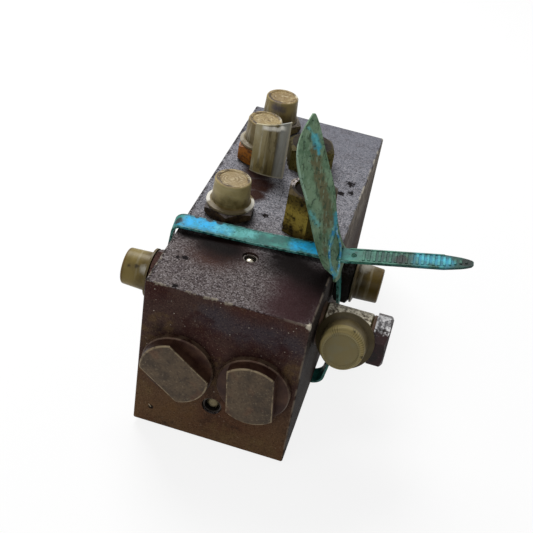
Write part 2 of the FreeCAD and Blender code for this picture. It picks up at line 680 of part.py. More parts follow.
def switch_insulator():
    """The moulded disc in the switch's cup."""
    seat = switch_seat()
    height = SWITCH_CUP_DEPTH - 1.2
    radius = SWITCH_CUP_RADIUS - 0.05
    disc = revolved([
        (0, 0), (radius, 0), (radius, height - 0.8), (radius - 0.8, height), (5.6, height),
        (5.2, height + 1.6), (0, height + 1.6),
    ])
    return placed(disc, Vector(seat.x, seat.y, seat.z + SWITCH_HEIGHT - SWITCH_CUP_DEPTH), UP)


def switch_terminal(side):
    """A screw terminal on the insulator: a round post with a cross hole for the wire."""
    seat = switch_seat()
    sign = -1 if side == "left" else 1
    foot = Vector(seat.x + sign * 3.0, seat.y + sign * 0.6, seat.z + SWITCH_HEIGHT + 0.4)
    post = revolved([(0, 0), (1.9, 0), (1.9, 5.0), (1.4, 5.5), (0, 5.5)])
    post = post.cut(rod(0.7, 6, Vector(0, -3, 3.2), REARWARD))
    return placed(post, foot, UP)


def hex_plug():
    """A hexagon screw plug over the galley's vertical drilling."""
    seat = hex_plug_seat()
    head = placed(chamfered_hexagon(HEX_ACROSS_FLATS, HEX_PLUG_HEIGHT), seat, UP, CAMERA_SIDE_TURN + HEX_PLUG_TURN)
    return head.fuse(stud(seat))


def torn_sleeve():
    """A length of plastic tube, split and flattened, torn off higher on its right."""
    outer = SLEEVE_RADIUS
    inner = SLEEVE_RADIUS - SLEEVE_WALL
    axis = Vector(SLEEVE_X, behind_front(SLEEVE_FROM_FRONT) + outer, BLOCK_HEIGHT)
    half_angle = math.asin(SLEEVE_WIDTH / 2 / outer)
    start = math.radians(-90) - half_angle
    middle = math.radians(-90)
    end = math.radians(-90) + half_angle

    def at(radius, angle):
        return Vector(axis.x + radius * math.cos(angle), axis.y + radius * math.sin(angle), axis.z)

    face = Part.Face(Part.Wire([
        Part.Arc(at(outer, start), at(outer, middle), at(outer, end)).toShape(),
        Part.makeLine(at(outer, end), at(inner, end)),
        Part.Arc(at(inner, end), at(inner, middle), at(inner, start)).toShape(),
        Part.makeLine(at(inner, start), at(outer, start)),
    ]))
    over = SLEEVE_RIGHT_HEIGHT + SLEEVE_WALL
    wall = face.extrude(Vector(0, 0, over))
    left = axis.x - SLEEVE_WIDTH / 2
    right = axis.x + SLEEVE_WIDTH / 2
    tear = Part.makePolygon([
        Vector(left, axis.y, axis.z + SLEEVE_LEFT_HEIGHT),
        Vector(axis.x, axis.y, axis.z + SLEEVE_MIDDLE_HEIGHT),
        Vector(right, axis.y, axis.z + SLEEVE_RIGHT_HEIGHT),
        Vector(right, axis.y, axis.z + over),
        Vector(left, axis.y, axis.z + over),
        Vector(left, axis.y, axis.z + SLEEVE_LEFT_HEIGHT),
    ])
    waste = Part.Face(tear).extrude(Vector(0, -outer, 0))
    return wall.cut(waste)


# The marker tie lies in a plane that is turned a little about Z and leans back as it goes
# down. Its band is drawn in that plane as straight runs joined by round bends, and then given
# its width.


def band_face(route, thickness):
    """A flat band of one thickness along (s, z, bend radius) points."""
    half = thickness / 2
    sides = {1: [], -1: []}
    points = [Vector(s, 0, z) for s, z, radius in route]
    starts = {1: None, -1: None}
    for sign in (1, -1):
        way = points[1].sub(points[0]).normalize()
        starts[sign] = points[0].add(Vector(-way.z, 0, way.x).multiply(sign * half))
    here = dict(starts)
    for index in range(1, len(points) - 1):
        before = points[index].sub(points[index - 1]).normalize()
        after = points[index + 1].sub(points[index]).normalize()
        turn = math.acos(max(-1, min(1, before.dot(after))))
        radius = route[index][2]
        setback = radius * math.tan(turn / 2)
        left_turn = before.z * after.x - before.x * after.z < 0
        bend_side = 1 if left_turn else -1
        first = points[index].sub(Vector(before).multiply(setback))
        last = points[index].add(Vector(after).multiply(setback))
        centre = first.add(Vector(-before.z, 0, before.x).multiply(bend_side * radius))
        halfway = first.add(last).multiply(0.5).sub(centre).normalize()
        for sign in (1, -1):
            reach = radius - bend_side * sign * half
            a = first.sub(centre).normalize().multiply(reach).add(centre)
            m = Vector(halfway).multiply(reach).add(centre)
            b = last.sub(centre).normalize().multiply(reach).add(centre)
            sides[sign].append(Part.makeLine(here[sign], a))
            sides[sign].append(Part.Arc(a, m, b).toShape())
            here[sign] = b
    way = points[-1].sub(points[-2]).normalize()
    for sign in (1, -1):
        last = points[-1].add(Vector(-way.z, 0, way.x).multiply(sign * half))
        sides[sign].append(Part.makeLine(here[sign], last))
        here[sign] = last
    edges = sides[1] + [Part.makeLine(here[1], here[-1])] + sides[-1][::-1] + [Part.makeLine(starts[-1], starts[1])]
    return Part.Face(Part.Wire(edges))


def tie_placement():
    """Takes the XZ plane to the tie's own plane, which crosses it at the block's top."""
    pivot = Vector(0, behind_front(TIE_FROM_FRONT), BLOCK_HEIGHT)
    lean = Rotation(UP, TIE_TURN).multiply(Rotation(RIGHTWARD, TIE_TILT))
    return Placement(pivot, lean).multiply(Placement(Vector(0, 0, -BLOCK_HEIGHT), Rotation()))


def tie_plane(shape):
    """Stands a shape that was drawn in the XZ plane in the tie's own plane."""
    turned = shape.copy()
    turned.Placement = tie_placement()
    return turned


def tie_underside():
    """The height, in the tie's plane, of the band's middle line where it passes under the block."""
    lean = math.radians(TIE_TILT)
    drop = TIE_GAP + TIE_THICKNESS / 2 + TIE_WIDTH / 2 * math.sin(lean)
    return BLOCK_HEIGHT - (BLOCK_HEIGHT + drop) / math.cos(lean)


def tie_route():
    """The band's middle line from the flag's foot, down the right, under, up the left and over."""
    side = BLOCK_WIDTH / 2 / math.cos(math.radians(TIE_TURN))
    under = tie_underside()
    over = BLOCK_HEIGHT + 2.8
    return [
        (flag_foot(), BLOCK_HEIGHT - FLAG_FOOT_DROP, 0),
        (flag_foot(), BLOCK_HEIGHT - FLAG_FOOT_DROP - 4, 20),
        (side + 5.0, BLOCK_HEIGHT * 0.7, 60),
        (side + 8.6, BLOCK_HEIGHT * 0.24, 30),
        (side + 5.9, under, 6.4),
        (-side - 2.6, under, 3.2),
        (-side - 2.2, BLOCK_HEIGHT * 0.45, 60),
        (-side - 4.4, BLOCK_HEIGHT * 0.82, 22),
        (-side - 2.3, over + 0.6, 5),
        (0, over - 0.5, 80),
        (side + 2.5, over + 0.2, 40),
        (TIE_TAIL_REACH, over + TIE_TAIL_RISE, 0),
    ]


def tie_strap():
    """The band, with its tail run through the flag's slot and cut to a point."""
    route = tie_route()
    band = band_face(route, TIE_THICKNESS).extrude(Vector(0, TIE_WIDTH, 0))
    band.translate(Vector(0, -TIE_WIDTH / 2, 0))
    reach = TIE_TAIL_REACH
    half = TIE_WIDTH / 2
    low = BLOCK_HEIGHT - 5
    rounding = [(1.0, 1.0), (0.7, 0.87), (0.42, 0.73), (0.22, 0.57), (0.06, 0.38), (0, 0.15)]
    front = [Vector(reach - back * TIE_TIP, -share * half, low) for back, share in rounding]
    rear = [Vector(point.x, -point.y, low) for point in reversed(front)]
    clear = TIE_WIDTH
    corners = [Vector(reach - TIE_TIP, -clear, low)] + front + rear + [
        Vector(reach - TIE_TIP, clear, low), Vector(reach + clear, clear, low),
        Vector(reach + clear, -clear, low), Vector(reach - TIE_TIP, -clear, low),
    ]
    waste = Part.Face(Part.makePolygon(corners)).extrude(Vector(0, 0, TIE_TAIL_REACH))
    return tie_plane(band.cut(waste))


def flag_foot():
    """How far along the tie's plane the band ends and the flag begins."""
    return BLOCK_WIDTH / 2 / math.cos(math.radians(TIE_TURN)) + FLAG_FOOT_OUT


def flag_edges():
    """Points on the leaf's front and rear edges, foot to tip. Each is given by how far it is
    outside the block's right face, behind the tie's line and above the block's top face."""
    return [
        ((2.0, -9.4, -4.4), (3.0, 9.6, -2.4)),
        ((1.6, -11.4, 0.6), (2.7, 10.6, 0.8)),
        ((-3.4, -11.2, 3.6), (1.2, 10.9, 3.6)),
        ((-8.3, -7.8, 8.2), (-0.4, 8.4, 7.8)),
        ((-12.8, -5.0, 15.6), (-2.7, 6.7, 14.6)),
        ((-16.6, -4.2, 24.6), (-5.4, 5.7, 24.0)),
        ((-22.0, -3.7, 37.2), (-8.4, 5.2, 36.4)),
        ((-26.3, -3.2, 46.8), (-11.7, 5.0, 45.4)),
        ((-28.6, -2.4, 55.5), (-15.4, 4.9, 54.0)),
        ((-28.4, -0.3, 65.0), (-19.9, 5.2, 64.6)),
        ((-25.7, 5.2, 73.9), (-24.8, 5.8, 73.9)),
    ]


def leaf_section(front, rear, along):
    """A thin rectangle from a point on the front edge to one on the rear edge, square to the leaf."""
    side = rear.sub(front).cross(along).normalize().multiply(FLAG_THICKNESS / 2)
    corners = [front.add(side), rear.add(side), rear.sub(side), front.sub(side), front.add(side)]
    return Part.makePolygon(corners)


def tie_flag():
    """The leaf-shaped flag, lofted with its twist, with the slot that the band's tail passes."""
    height = BLOCK_HEIGHT - FLAG_FOOT_DROP
    stand = tie_placement()
    foot = [stand.multVec(Vector(flag_foot(), y, height)) for y in (-TIE_WIDTH / 2, TIE_WIDTH / 2)]
    corner = Vector(BLOCK_WIDTH / 2, behind_front(TIE_FROM_FRONT), BLOCK_HEIGHT)
    pairs = [foot]
    for front, rear in flag_edges():
        pairs.append([corner.add(Vector(*front)), corner.add(Vector(*rear))])
    middles = [front.add(rear).multiply(0.5) for front, rear in pairs]
    wires = [leaf_section(foot[0], foot[1], stand.Rotation.multVec(UP))]
    for index in range(1, len(pairs)):
        following = middles[min(index + 1, len(pairs) - 1)]
        along = following.sub(middles[index - 1])
        wires.append(leaf_section(pairs[index][0], pairs[index][1], along))
    bend = 3
    leaf = Part.makeLoft(wires[:bend + 1], True, True).fuse(Part.makeLoft(wires[bend:], True, False))
    middle = tie_route()[-2][1]
    slot_height = TIE_THICKNESS + 2 * FLAG_SLOT_CLEARANCE
    slot_width = TIE_WIDTH + 2 * FLAG_SLOT_CLEARANCE
    start = Vector(BLOCK_WIDTH / 2 - 8, -slot_width / 2, middle - slot_height / 2)
    slot = Part.makeBox(16, slot_width, slot_height, start)
    return leaf.cut(tie_plane(slot))


def build():
    nodes = {"valve_block": valve_block()}
    for side in ("left", "right"):
        nodes["front_plug_" + side] = front_plug(side)
        nodes["front_plug_seal_" + side] = plug_seal(side)
        nodes["spool_" + side] = spool(side)
        nodes["return_spring_" + side] = return_spring(side)
        nodes["metering_spring_" + side] = metering_spring(side)
        nodes["plunger_" + side] = plunger(side)
        nodes["guide_bush_" + side] = guide_bush(side)
        nodes["rod_seal_" + side] = rod_seal(side)
        nodes["wiper_" + side] = wiper(side)
    front_mouth = Vector(0, FRONT, GALLEY_HEIGHT)
    top_mouth = Vector(0, behind_front(TOP_BALL_FROM_FRONT), BLOCK_HEIGHT)
    for name, mouth, axis, bore in (("front", front_mouth, FORWARD, FRONT_BALL_BORE),
                                    ("top", top_mouth, UP, TOP_BALL_BORE)):
        sleeve, ball = ball_plug(mouth, axis, bore)
        nodes["plug_sleeve_" + name] = sleeve
        nodes["plug_ball_" + name] = ball
    turns = {"top_front": CAMERA_SIDE_TURN, "top_middle": CAMERA_SIDE_TURN, "top_rear": CAMERA_SIDE_TURN + 20,
             "left_side": 0, "right_side": 12}
    for name, (seat, axis, height) in port_seats().items():
        nodes["adapter_" + name] = adapter(height, seat, axis, turns[name])
        nodes["seal_" + name] = bonded_seal(seat, axis)
        foot = seat.add(Vector(axis).multiply(height))
        rim = PLAIN_CAP_RIM if name == "top_rear" else CAP_RIM_RADIUS
        nodes["cap_" + name] = cap(foot, axis, rim)
    nodes["banjo_body"] = banjo_body()
    nodes["banjo_bolt"] = banjo_bolt()
    nodes["banjo_washer_inner"] = banjo_washer(True)
    nodes["banjo_washer_outer"] = banjo_washer(False)
    foot = banjo_outlet_centre().add(banjo_outlet().multiply(BANJO_CAP_FOOT))
    rim = CAP_RIM_RADIUS * BANJO_CAP_SCALE
    nodes["cap_banjo"] = cap(foot, banjo_outlet(), rim, BANJO_CAP_SCALE, BANJO_CAP_LENGTH)
    nodes["pressure_switch_body"] = pressure_switch_body()
    nodes["seal_pressure_switch"] = bonded_seal(switch_seat(), UP)
    nodes["switch_insulator"] = switch_insulator()
    nodes["switch_terminal_left"] = switch_terminal("left")
    nodes["switch_terminal_right"] = switch_terminal("right")
    nodes["hex_plug"] = hex_plug()
    nodes["seal_hex_plug"] = bonded_seal(hex_plug_seat(), UP)
    nodes["torn_sleeve"] = torn_sleeve()
    nodes["tie_strap"] = tie_strap()
    nodes["tie_flag"] = tie_flag()
    return nodes


def main():
    os.makedirs("parts", exist_ok=True)
    for name, shape in build().items():
        shape.exportStep("parts/" + name + ".step")
        size = shape.BoundBox
        print(f"{name:24s} solids {len(shape.Solids)} volume {shape.Volume:10.1f} valid {shape.isValid()} "
              f"x {size.XMin:7.2f} {size.XMax:7.2f} y {size.YMin:7.2f} {size.YMax:7.2f} "
              f"z {size.ZMin:7.2f} {size.ZMax:7.2f}")


main()
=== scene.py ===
# %% [markdown]
# A used hydraulic pedal valve, dressed over its CAD model.
#
# The CAD nodes keep their exact shapes. This file gives each of them the finish of the real
# piece, adds what is too fine for CAD, such as the ribs on the marker tie, and sets up a
# camera, soft lamps and a pale floor. Everything is in metres, in the CAD model's own frame:
# +Z is up, +X is to the right and the screw plugs look along -Y.

# %% Start
import math

import bpy
from mathutils import Matrix, Vector


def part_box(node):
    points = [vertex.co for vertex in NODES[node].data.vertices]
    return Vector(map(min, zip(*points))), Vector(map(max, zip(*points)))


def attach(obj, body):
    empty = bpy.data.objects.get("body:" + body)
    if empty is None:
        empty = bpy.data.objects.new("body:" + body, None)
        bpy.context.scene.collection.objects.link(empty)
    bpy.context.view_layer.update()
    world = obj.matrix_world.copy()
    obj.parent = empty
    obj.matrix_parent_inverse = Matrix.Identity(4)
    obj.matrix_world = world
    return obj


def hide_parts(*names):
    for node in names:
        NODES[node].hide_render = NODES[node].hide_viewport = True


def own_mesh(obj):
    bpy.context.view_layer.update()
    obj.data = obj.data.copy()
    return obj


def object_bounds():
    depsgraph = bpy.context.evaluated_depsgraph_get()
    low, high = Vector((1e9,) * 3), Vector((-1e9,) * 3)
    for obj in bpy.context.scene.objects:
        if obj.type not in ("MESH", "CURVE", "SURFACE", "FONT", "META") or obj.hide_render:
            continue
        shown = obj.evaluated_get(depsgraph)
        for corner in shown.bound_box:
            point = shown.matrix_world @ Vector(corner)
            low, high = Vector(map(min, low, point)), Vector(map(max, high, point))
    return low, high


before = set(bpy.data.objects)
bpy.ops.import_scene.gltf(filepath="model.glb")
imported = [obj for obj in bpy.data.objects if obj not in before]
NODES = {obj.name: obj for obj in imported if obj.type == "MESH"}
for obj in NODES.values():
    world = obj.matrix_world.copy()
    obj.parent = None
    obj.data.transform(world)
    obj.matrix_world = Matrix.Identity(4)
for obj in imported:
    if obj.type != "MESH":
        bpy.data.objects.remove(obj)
CAD_BOX = [list(map(float, corner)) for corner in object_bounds()]
bpy.ops.object.select_all(action="DESELECT")
print(len(NODES), "CAD nodes in a box", CAD_BOX)

# %% [markdown]
# The camera comes first, because every later choice is judged through it. The photographer
# held it in front of the valve, a little to the right and well above it, and rolled it by ten
# degrees. A camera that looks at a point and is then rolled says this in three plain values.

# %% Camera
CAMERA_PLACE = Vector((0.0738, -0.4469, 0.3802))
CAMERA_TARGET = Vector((0.0025, -0.02, 0.06))
CAMERA_ROLL = math.radians(9.98)
CAMERA_LENS = 68.33

lens = bpy.data.cameras.new("photo_camera")
lens.lens = CAMERA_LENS
lens.sensor_width = 36.0
camera = bpy.data.objects.new("photo_camera", lens)
look = (CAMERA_TARGET - CAMERA_PLACE).to_track_quat("-Z", "Y").to_matrix()
turned = look @ Matrix.Rotation(CAMERA_ROLL, 3, "Z")
camera.matrix_world = Matrix.Translation(CAMERA_PLACE) @ turned.to_4x4()
bpy.context.scene.collection.objects.link(camera)
bpy.context.scene.camera = camera
print("camera", round((CAMERA_TARGET - CAMERA_PLACE).length, 3), "m from its target")

# %% [markdown]
# Shader maths is easier to read as sums than as wires. This small class stands for what one
# socket gives: adding, taking away or multiplying it adds a Math node, and its few methods
# add a smooth step, a layer of colour or a Vector Math node. The other way is to place and
# link each node by hand, which hides the formula.

# %% Sums on sockets
class Reading:
    """What one shader socket gives."""

    def __init__(self, finish, socket):
        self.finish = finish
        self.socket = socket

    def __add__(self, other):
        return self.finish.sum("ADD", self, other)

    def __radd__(self, other):
        return self.finish.sum("ADD", other, self)

    def __sub__(self, other):
        return self.finish.sum("SUBTRACT", self, other)

    def __rsub__(self, other):
        return self.finish.sum("SUBTRACT", other, self)

    def __mul__(self, other):
        return self.finish.sum("MULTIPLY", self, other)

    def __rmul__(self, other):
        return self.finish.sum("MULTIPLY", other, self)

    def __abs__(self):
        return self.finish.sum("ABSOLUTE", self, 0)

    def sine(self):
        return self.finish.sum("SINE", self, 0)

    def step(self, low, high):
        """0 at low, 1 at high and smooth between. Low may be the larger of the two."""
        limits = {"Value": self, "From Min": low, "From Max": high}
        return self.finish.node("MapRange", limits, interpolation_type="SMOOTHSTEP")

    def cover(self, tint, share):
        """Lays another colour over this one, which gives the mix of both from then on."""
        self.socket = self.finish.mix(self, tint, share).socket
        return self

    def minus(self, place):
        """The way to this place from another."""
        return self.finish.vector("SUBTRACT", self, place)

    def dot(self, direction):
        """How far this reaches along a direction."""
        return self.finish.vector("DOT_PRODUCT", self, direction, out="Value")

    def length(self):
        return self.finish.vector("LENGTH", self, (0, 0, 0), out="Value")


print("sums are written with +, - and *")

# %% [markdown]
# A finish is one material. It knows the place of a point on the object and has the few
# patterns that old steel and plastic need: cloudy noise, specks, a blot around a point and a
# stripe along a line. All of them read Object coordinates, so nothing slides when a piece
# moves. The patterns could be painted on an image, but a formula stays sharp from close by.

# %% Finishes
def colour(red, green, blue):
    """A colour written as it looks on a screen, from 0 to 255, as a shader wants it."""
    parts = [value / 255 for value in (red, green, blue)]
    return tuple(p / 12.92 if p <= 0.04045 else ((p + 0.055) / 1.055) ** 2.4 for p in parts) + (1.0,)


class Finish:
    """A material made of nodes around one Principled shader."""

    def __init__(self, name, shine=0.5, **fixed):
        self.material = bpy.data.materials.new(name)
        self.material.use_nodes = True
        self.tree = self.material.node_tree
        self.shader = self.tree.nodes["Principled BSDF"]
        for socket, value in fixed.items():
            self.wire(socket.replace("_", " "), value)
        self.wire("Specular IOR Level", shine)
        self.place = self.node("TexCoord", out="Object")

    def node(self, kind, sockets=None, out=0, **settings):
        """Any shader node: its settings first, then the values or links of its sockets."""
        made = self.tree.nodes.new("ShaderNode" + kind)
        for setting, value in settings.items():
            setattr(made, setting, value)
        for socket, value in (sockets or {}).items():
            self.feed(made.inputs[socket], value)
        return Reading(self, made.outputs[out])

    def feed(self, socket, value):
        """Gives a socket a reading or a plain value."""
        if isinstance(value, Reading):
            self.tree.links.new(value.socket, socket)
        else:
            socket.default_value = value

    def wire(self, socket, value):
        self.feed(self.shader.inputs[socket], value)

    def sum(self, operation, first, second):
        return self.node("Math", {0: first, 1: second}, operation=operation)

    def vector(self, operation, first, second, out=0):
        return self.node("VectorMath", {0: first, 1: second}, out=out, operation=operation)

    def scaled(self, direction, by):
        return self.node("VectorMath", {0: direction, "Scale": by}, operation="SCALE")

    def cloud(self, size, detail=4.0, rough=0.55, stretch=(1, 1, 1), where=None):
        """Noise from 0 to 1 with blobs about this many metres wide."""
        spread = self.vector("MULTIPLY", where or self.place, stretch)
        sockets = {"Vector": spread, "Scale": 1 / size, "Detail": detail, "Roughness": rough}
        return self.node("TexNoise", sockets)

    def specks(self, cell, radius):
        """1 inside small dots, one for each cell of this size."""
        dots = self.node("TexVoronoi", {"Vector": self.place, "Scale": 1 / cell})
        return dots.step(radius / cell, 0.5 * radius / cell)

    def blot(self, centre, reach, full=0.55, ragged=0.3):
        """1 around a point out to a share of its reach, then fading out with a ragged edge."""
        distance = self.place.minus(centre).length()
        torn = distance + (self.cloud(reach * 0.5) - 0.5) * (reach * ragged * 2)
        return torn.step(reach, reach * full)

    def stripe(self, start, end, reach, full=0.4, ragged=0.3):
        """The same along a straight line between two points."""
        run = Vector(end) - Vector(start)
        offset = self.place.minus(start)
        share = offset.dot(tuple(run / run.length_squared))
        share = self.sum("MINIMUM", self.sum("MAXIMUM", share, 0), 1)
        distance = offset.minus(self.scaled(tuple(run), share)).length()
        torn = distance + (self.cloud(reach * 0.8) - 0.5) * (reach * ragged * 2)
        return torn.step(reach, reach * full)

    def blots(self, marks, **edge):
        """All the blots of a list at once."""
        return self.either(*[self.blot(*mark, **edge) for mark in marks])

    def stripes(self, lines, **edge):
        """All the stripes of a list at once."""
        return self.either(*[self.stripe(*line, **edge) for line in lines])

    def either(self, *masks):
        """The strongest of several masks at each point."""
        strongest = masks[0]
        for mask in masks[1:]:
            strongest = self.sum("MAXIMUM", strongest, mask)
        return strongest

    def mix(self, under, over, share):
        """One colour laid over another, each a reading or red, green and blue up to 255."""
        under, over = [tint if isinstance(tint, Reading) else colour(*tint) for tint in (under, over)]
        sockets = {0: share, 6: under, 7: over}
        return self.node("Mix", sockets, out=2, data_type="RGBA", clamp_factor=True)

    def parts(self, vector):
        """The X, Y and Z of a vector."""
        made = self.node("SeparateXYZ", {0: vector}, out="X")
        outputs = made.socket.node.outputs
        return [Reading(self, outputs[name]) for name in "XYZ"]

    def bump(self, height, depth, strength=1.0):
        """Dents or ridges of this many metres, from a height of 0 to 1."""
        sockets = {"Height": height, "Distance": depth, "Strength": strength}
        self.wire("Normal", self.node("Bump", sockets))

    def surface(self, tint, roughness, metallic=0.0):
        """Ends a finish with its colour, its roughness and how metallic it is."""
        self.wire("Base Color", tint)
        self.wire("Roughness", roughness)
        self.wire("Metallic", metallic)


def dress(finish, *names):
    """Puts a finish on CAD nodes or on pieces made here."""
    for name in names:
        piece = bpy.data.objects[name]
        piece.data.materials.clear()
        piece.data.materials.append(finish.material)
    print(finish.material.name, "on", *names)


print("a grey of 128 on a screen is", round(colour(128, 128, 128)[0], 3), "to a shader")

# %% [markdown]
# The block is black-oxide steel that has lain in oil. Its front is dark and warm, wine red at
# the top and olive brown below, with pale grit stuck to it. Its top has lost the oxide, so it
# is a dusty grey with pits and with oily patches round the fittings. One material does all
# of this, because the normal says which way a face looks. Three materials would show a seam.

# %% Block
BLOCK_LOW, BLOCK_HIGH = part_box("valve_block")
BLOCK_MIDDLE = (BLOCK_LOW + BLOCK_HIGH) / 2
BLOCK_HALF = (BLOCK_HIGH - BLOCK_LOW) / 2
TOP = BLOCK_HIGH.z
FRONT = BLOCK_LOW.y
print("block", [round(side * 2000) for side in BLOCK_HALF], "mm")

# %% [markdown]
# Blots and stripes say where the oil lies on the top. Toward the rear, behind the fittings,
# the dust is painted paler and bluer as a painted sheen of the strong light there, and the
# stripes are painted shadow mixed with oil, in front of the strap and at the feet of the adapters.

# %% Block top
OIL_ON_TOP = [
    ((0.033, -0.069, TOP), 0.029, 0.3),
    ((0.029, -0.085, TOP), 0.023, 0.3),
    ((-0.015, -0.057, TOP), 0.025, 0.2),
    ((-0.014, 0.009, TOP), 0.011, 0.45),
    ((-0.0135, -0.002, TOP), 0.0085, 0.4),
    ((-0.018, 0.02, TOP), 0.011, 0.4),
    ((0.032, -0.028, TOP), 0.01, 0.4),
]
PAINTED_SHADOW_AND_OIL = [
    ((-0.035, -0.052, TOP), (-0.02, -0.0525, TOP), 0.0065),
    ((-0.022, -0.0535, TOP), (-0.011, -0.055, TOP), 0.015),
    ((0.012, -0.05, TOP), (0.018, -0.052, TOP), 0.008),
    ((0.018, -0.053, TOP), (0.04, -0.059, TOP), 0.023),
    ((-0.025, -0.03, TOP), (-0.012, -0.029, TOP), 0.007),
]
PITS_ON_TOP = [
    ((0.032, 0.034, TOP), 0.0032),
    ((0.034, 0.025, TOP), 0.0022),
    ((0.029, 0.022, TOP), 0.0026),
    ((-0.0322, -0.0718, TOP), 0.0013),
    ((-0.0287, -0.0708, TOP), 0.002),
    ((-0.003, -0.018, TOP), 0.0022),
    ((0.02, 0.012, TOP), 0.002),
    ((-0.034, 0.01, TOP), 0.0022),
    ((-0.0258, -0.0931, TOP), 0.0018),
]


def block_top(steel, across, along, mottle, grain, blotches):
    """The grey of the top, with its oil and its pits, a painted sheen to the rear and painted shadow in
    front of the strap.
    """
    # Painted sheen: rear_light and far_light make the top paler and bluer towards the rear.
    rear_light = along.step(-0.065, -0.005)
    far_light = along.step(0.015, 0.085)
    dust_and_painted_light = steel.mix((84, 77, 76), (114, 114, 120), rear_light)
    dust_and_painted_light.cover((96, 97, 105), far_light * 0.7)
    dust_and_painted_light.cover((52, 43, 44), mottle.step(0.52, 0.36) * (0.6 - rear_light * 0.35))
    dust_and_painted_light.cover((58, 50, 52), blotches.step(0.52, 0.68) * (0.5 - rear_light * 0.2))
    dust_and_painted_light.cover((12, 8, 9), grain.step(0.5, 0.66) * (0.85 - far_light * 0.5))
    pale_share = 0.38 + rear_light * 0.1 - far_light * 0.28
    dust_and_painted_light.cover((166, 162, 164), grain.step(0.48, 0.32) * pale_share)
    oil = steel.blots(OIL_ON_TOP, ragged=0.2)
    # Painted shadow of the strap, mixed with oil, laid nearly black over the top.
    shade = steel.stripes(PAINTED_SHADOW_AND_OIL, full=0.1, ragged=0.25)
    oily = steel.mix((42, 24, 26), (42, 20, 11), across.step(0.006, -0.004))
    oily.cover((30, 12, 12), mottle.step(0.44, 0.62) * 0.7)
    pits = steel.blots(PITS_ON_TOP, ragged=1.2)
    dust_and_painted_light.cover(oily, oil * 0.95)
    dust_and_painted_light.cover((6, 3, 3), shade * 0.98)
    return dust_and_painted_light.cover((14, 10, 11), pits), oil, pits


print(len(OIL_ON_TOP) + len(PAINTED_SHADOW_AND_OIL), "oily patches and", len(PITS_ON_TOP), "pits")

# %% [markdown]
# The front is brown below and wine red above, with a painted bluish sheen over the plugs and a
# dark halo round each, part oil and part painted shade at the collar. Pale dust and grit stick
# to it, and a drill has left one small mark.

# %% Block front
DUST_ON_FRONT = [
    ((-0.03, FRONT, 0.066), 0.009),
    ((-0.0375, FRONT, 0.056), 0.009),
    ((-0.0015, FRONT, 0.05), 0.008),
    ((0.002, FRONT, 0.039), 0.006),
    ((0.039, FRONT, 0.06), 0.009),
    ((-0.036, FRONT, 0.022), 0.007),
    ((0.006, FRONT, 0.008), 0.01),
    ((0.028, FRONT, 0.005), 0.009),
]
WINE_ON_FRONT = [
    ((-0.012, FRONT, 0.07), 0.013),
    ((0.012, FRONT, 0.068), 0.011),
    ((0.026, FRONT, 0.072), 0.01),
    ((-0.034, FRONT, 0.085), 0.01),
]
PAINTED_BLUE_SHEEN = [
    ((-0.008, FRONT, 0.079), (0.01, FRONT, 0.076), 0.011),
    ((0.01, FRONT, 0.076), (0.033, FRONT, 0.077), 0.012),
]
PLUG_SHADE_AND_OIL_HALOS = [
    ((-0.0185, FRONT, 0.0455), 0.0235),
    ((0.02, FRONT, 0.0455), 0.0235),
]
DRILL_MARK = (-0.031, FRONT, 0.011)
DRILL_GLINT = ((-0.0322, FRONT, 0.0124), (-0.0312, FRONT, 0.0112))


def block_front(steel, low, mottle, grain, blotches):
    """The warm brown of the front, and the grit on it."""
    warm = steel.mix((62, 46, 42), (84, 62, 42), low)
    warm.cover((62, 24, 20), steel.cloud(0.03, detail=3).step(0.48, 0.68) * 0.35)
    warm.cover((26, 18, 17), mottle.step(0.48, 0.28) * 0.6)
    warm.cover((92, 66, 38), mottle.step(0.54, 0.72) * 0.4)
    # Painted sheen: a bluish reflection across the upper front.
    warm.cover((56, 54, 60), steel.stripes(PAINTED_BLUE_SHEEN, full=0.1, ragged=0.5) * 0.65)
    wine = steel.blots(WINE_ON_FRONT, ragged=0.9)
    warm.cover((40, 12, 14), wine * mottle.step(0.36, 0.62) * 0.6)
    # Painted shade with oil: a dark ring round each plug's collar.
    warm.cover((34, 10, 9), steel.blots(PLUG_SHADE_AND_OIL_HALOS, ragged=0.12) * 0.8)
    dust = steel.blots(DUST_ON_FRONT, ragged=0.7)
    warm.cover((90, 72, 46), dust * (blotches + mottle).step(0.8, 1.16) * 0.5)
    grit = steel.specks(0.0034, 0.00042) * steel.cloud(0.02).step(0.44, 0.56) * (1 - low * 0.7)
    warm.cover((160, 150, 138), grit * 0.8)
    warm.cover((18, 11, 10), grain.step(0.54, 0.68) * 0.5)
    warm.cover((132, 114, 92), grain.step(0.42, 0.3) * 0.22)
    sand = steel.specks(0.0023, 0.00026) * steel.cloud(0.015).step(0.52, 0.62)
    return warm.cover((172, 158, 138), sand * 0.5), grit


print(len(DUST_ON_FRONT), "dusty and", len(WINE_ON_FRONT), "wine red patches on the front")

# %% [markdown]
# The right flank is painted almost black, its own dark oxide and painted shade, and paler near
# the top as a painted sheen. Along the block's edges and at one corner the steel is rubbed bare.
# A mask that is 1 near two faces at once finds the edges by itself.

# %% Block flanks and edges
WORN_EDGE = [
    ((-0.039, FRONT, TOP), (-0.016, FRONT, TOP), 0.0013),
    ((-0.011, FRONT, TOP), (0.002, FRONT, TOP), 0.0013),
    ((BLOCK_LOW.x, -0.09, TOP), (BLOCK_LOW.x, -0.072, TOP), 0.0013),
]


def block_edges(finish, width):
    """1 along the block's outer edges, worn unevenly."""
    offset = finish.vector("ABSOLUTE", finish.place.minus(BLOCK_MIDDLE), (0, 0, 0))
    near = [(half - part).step(width, width * 0.3) for half, part in zip(BLOCK_HALF, finish.parts(offset))]
    corners = finish.either(near[0] * near[1], near[1] * near[2], near[0] * near[2])
    return corners * finish.cloud(0.006, detail=5).step(0.42, 0.6)


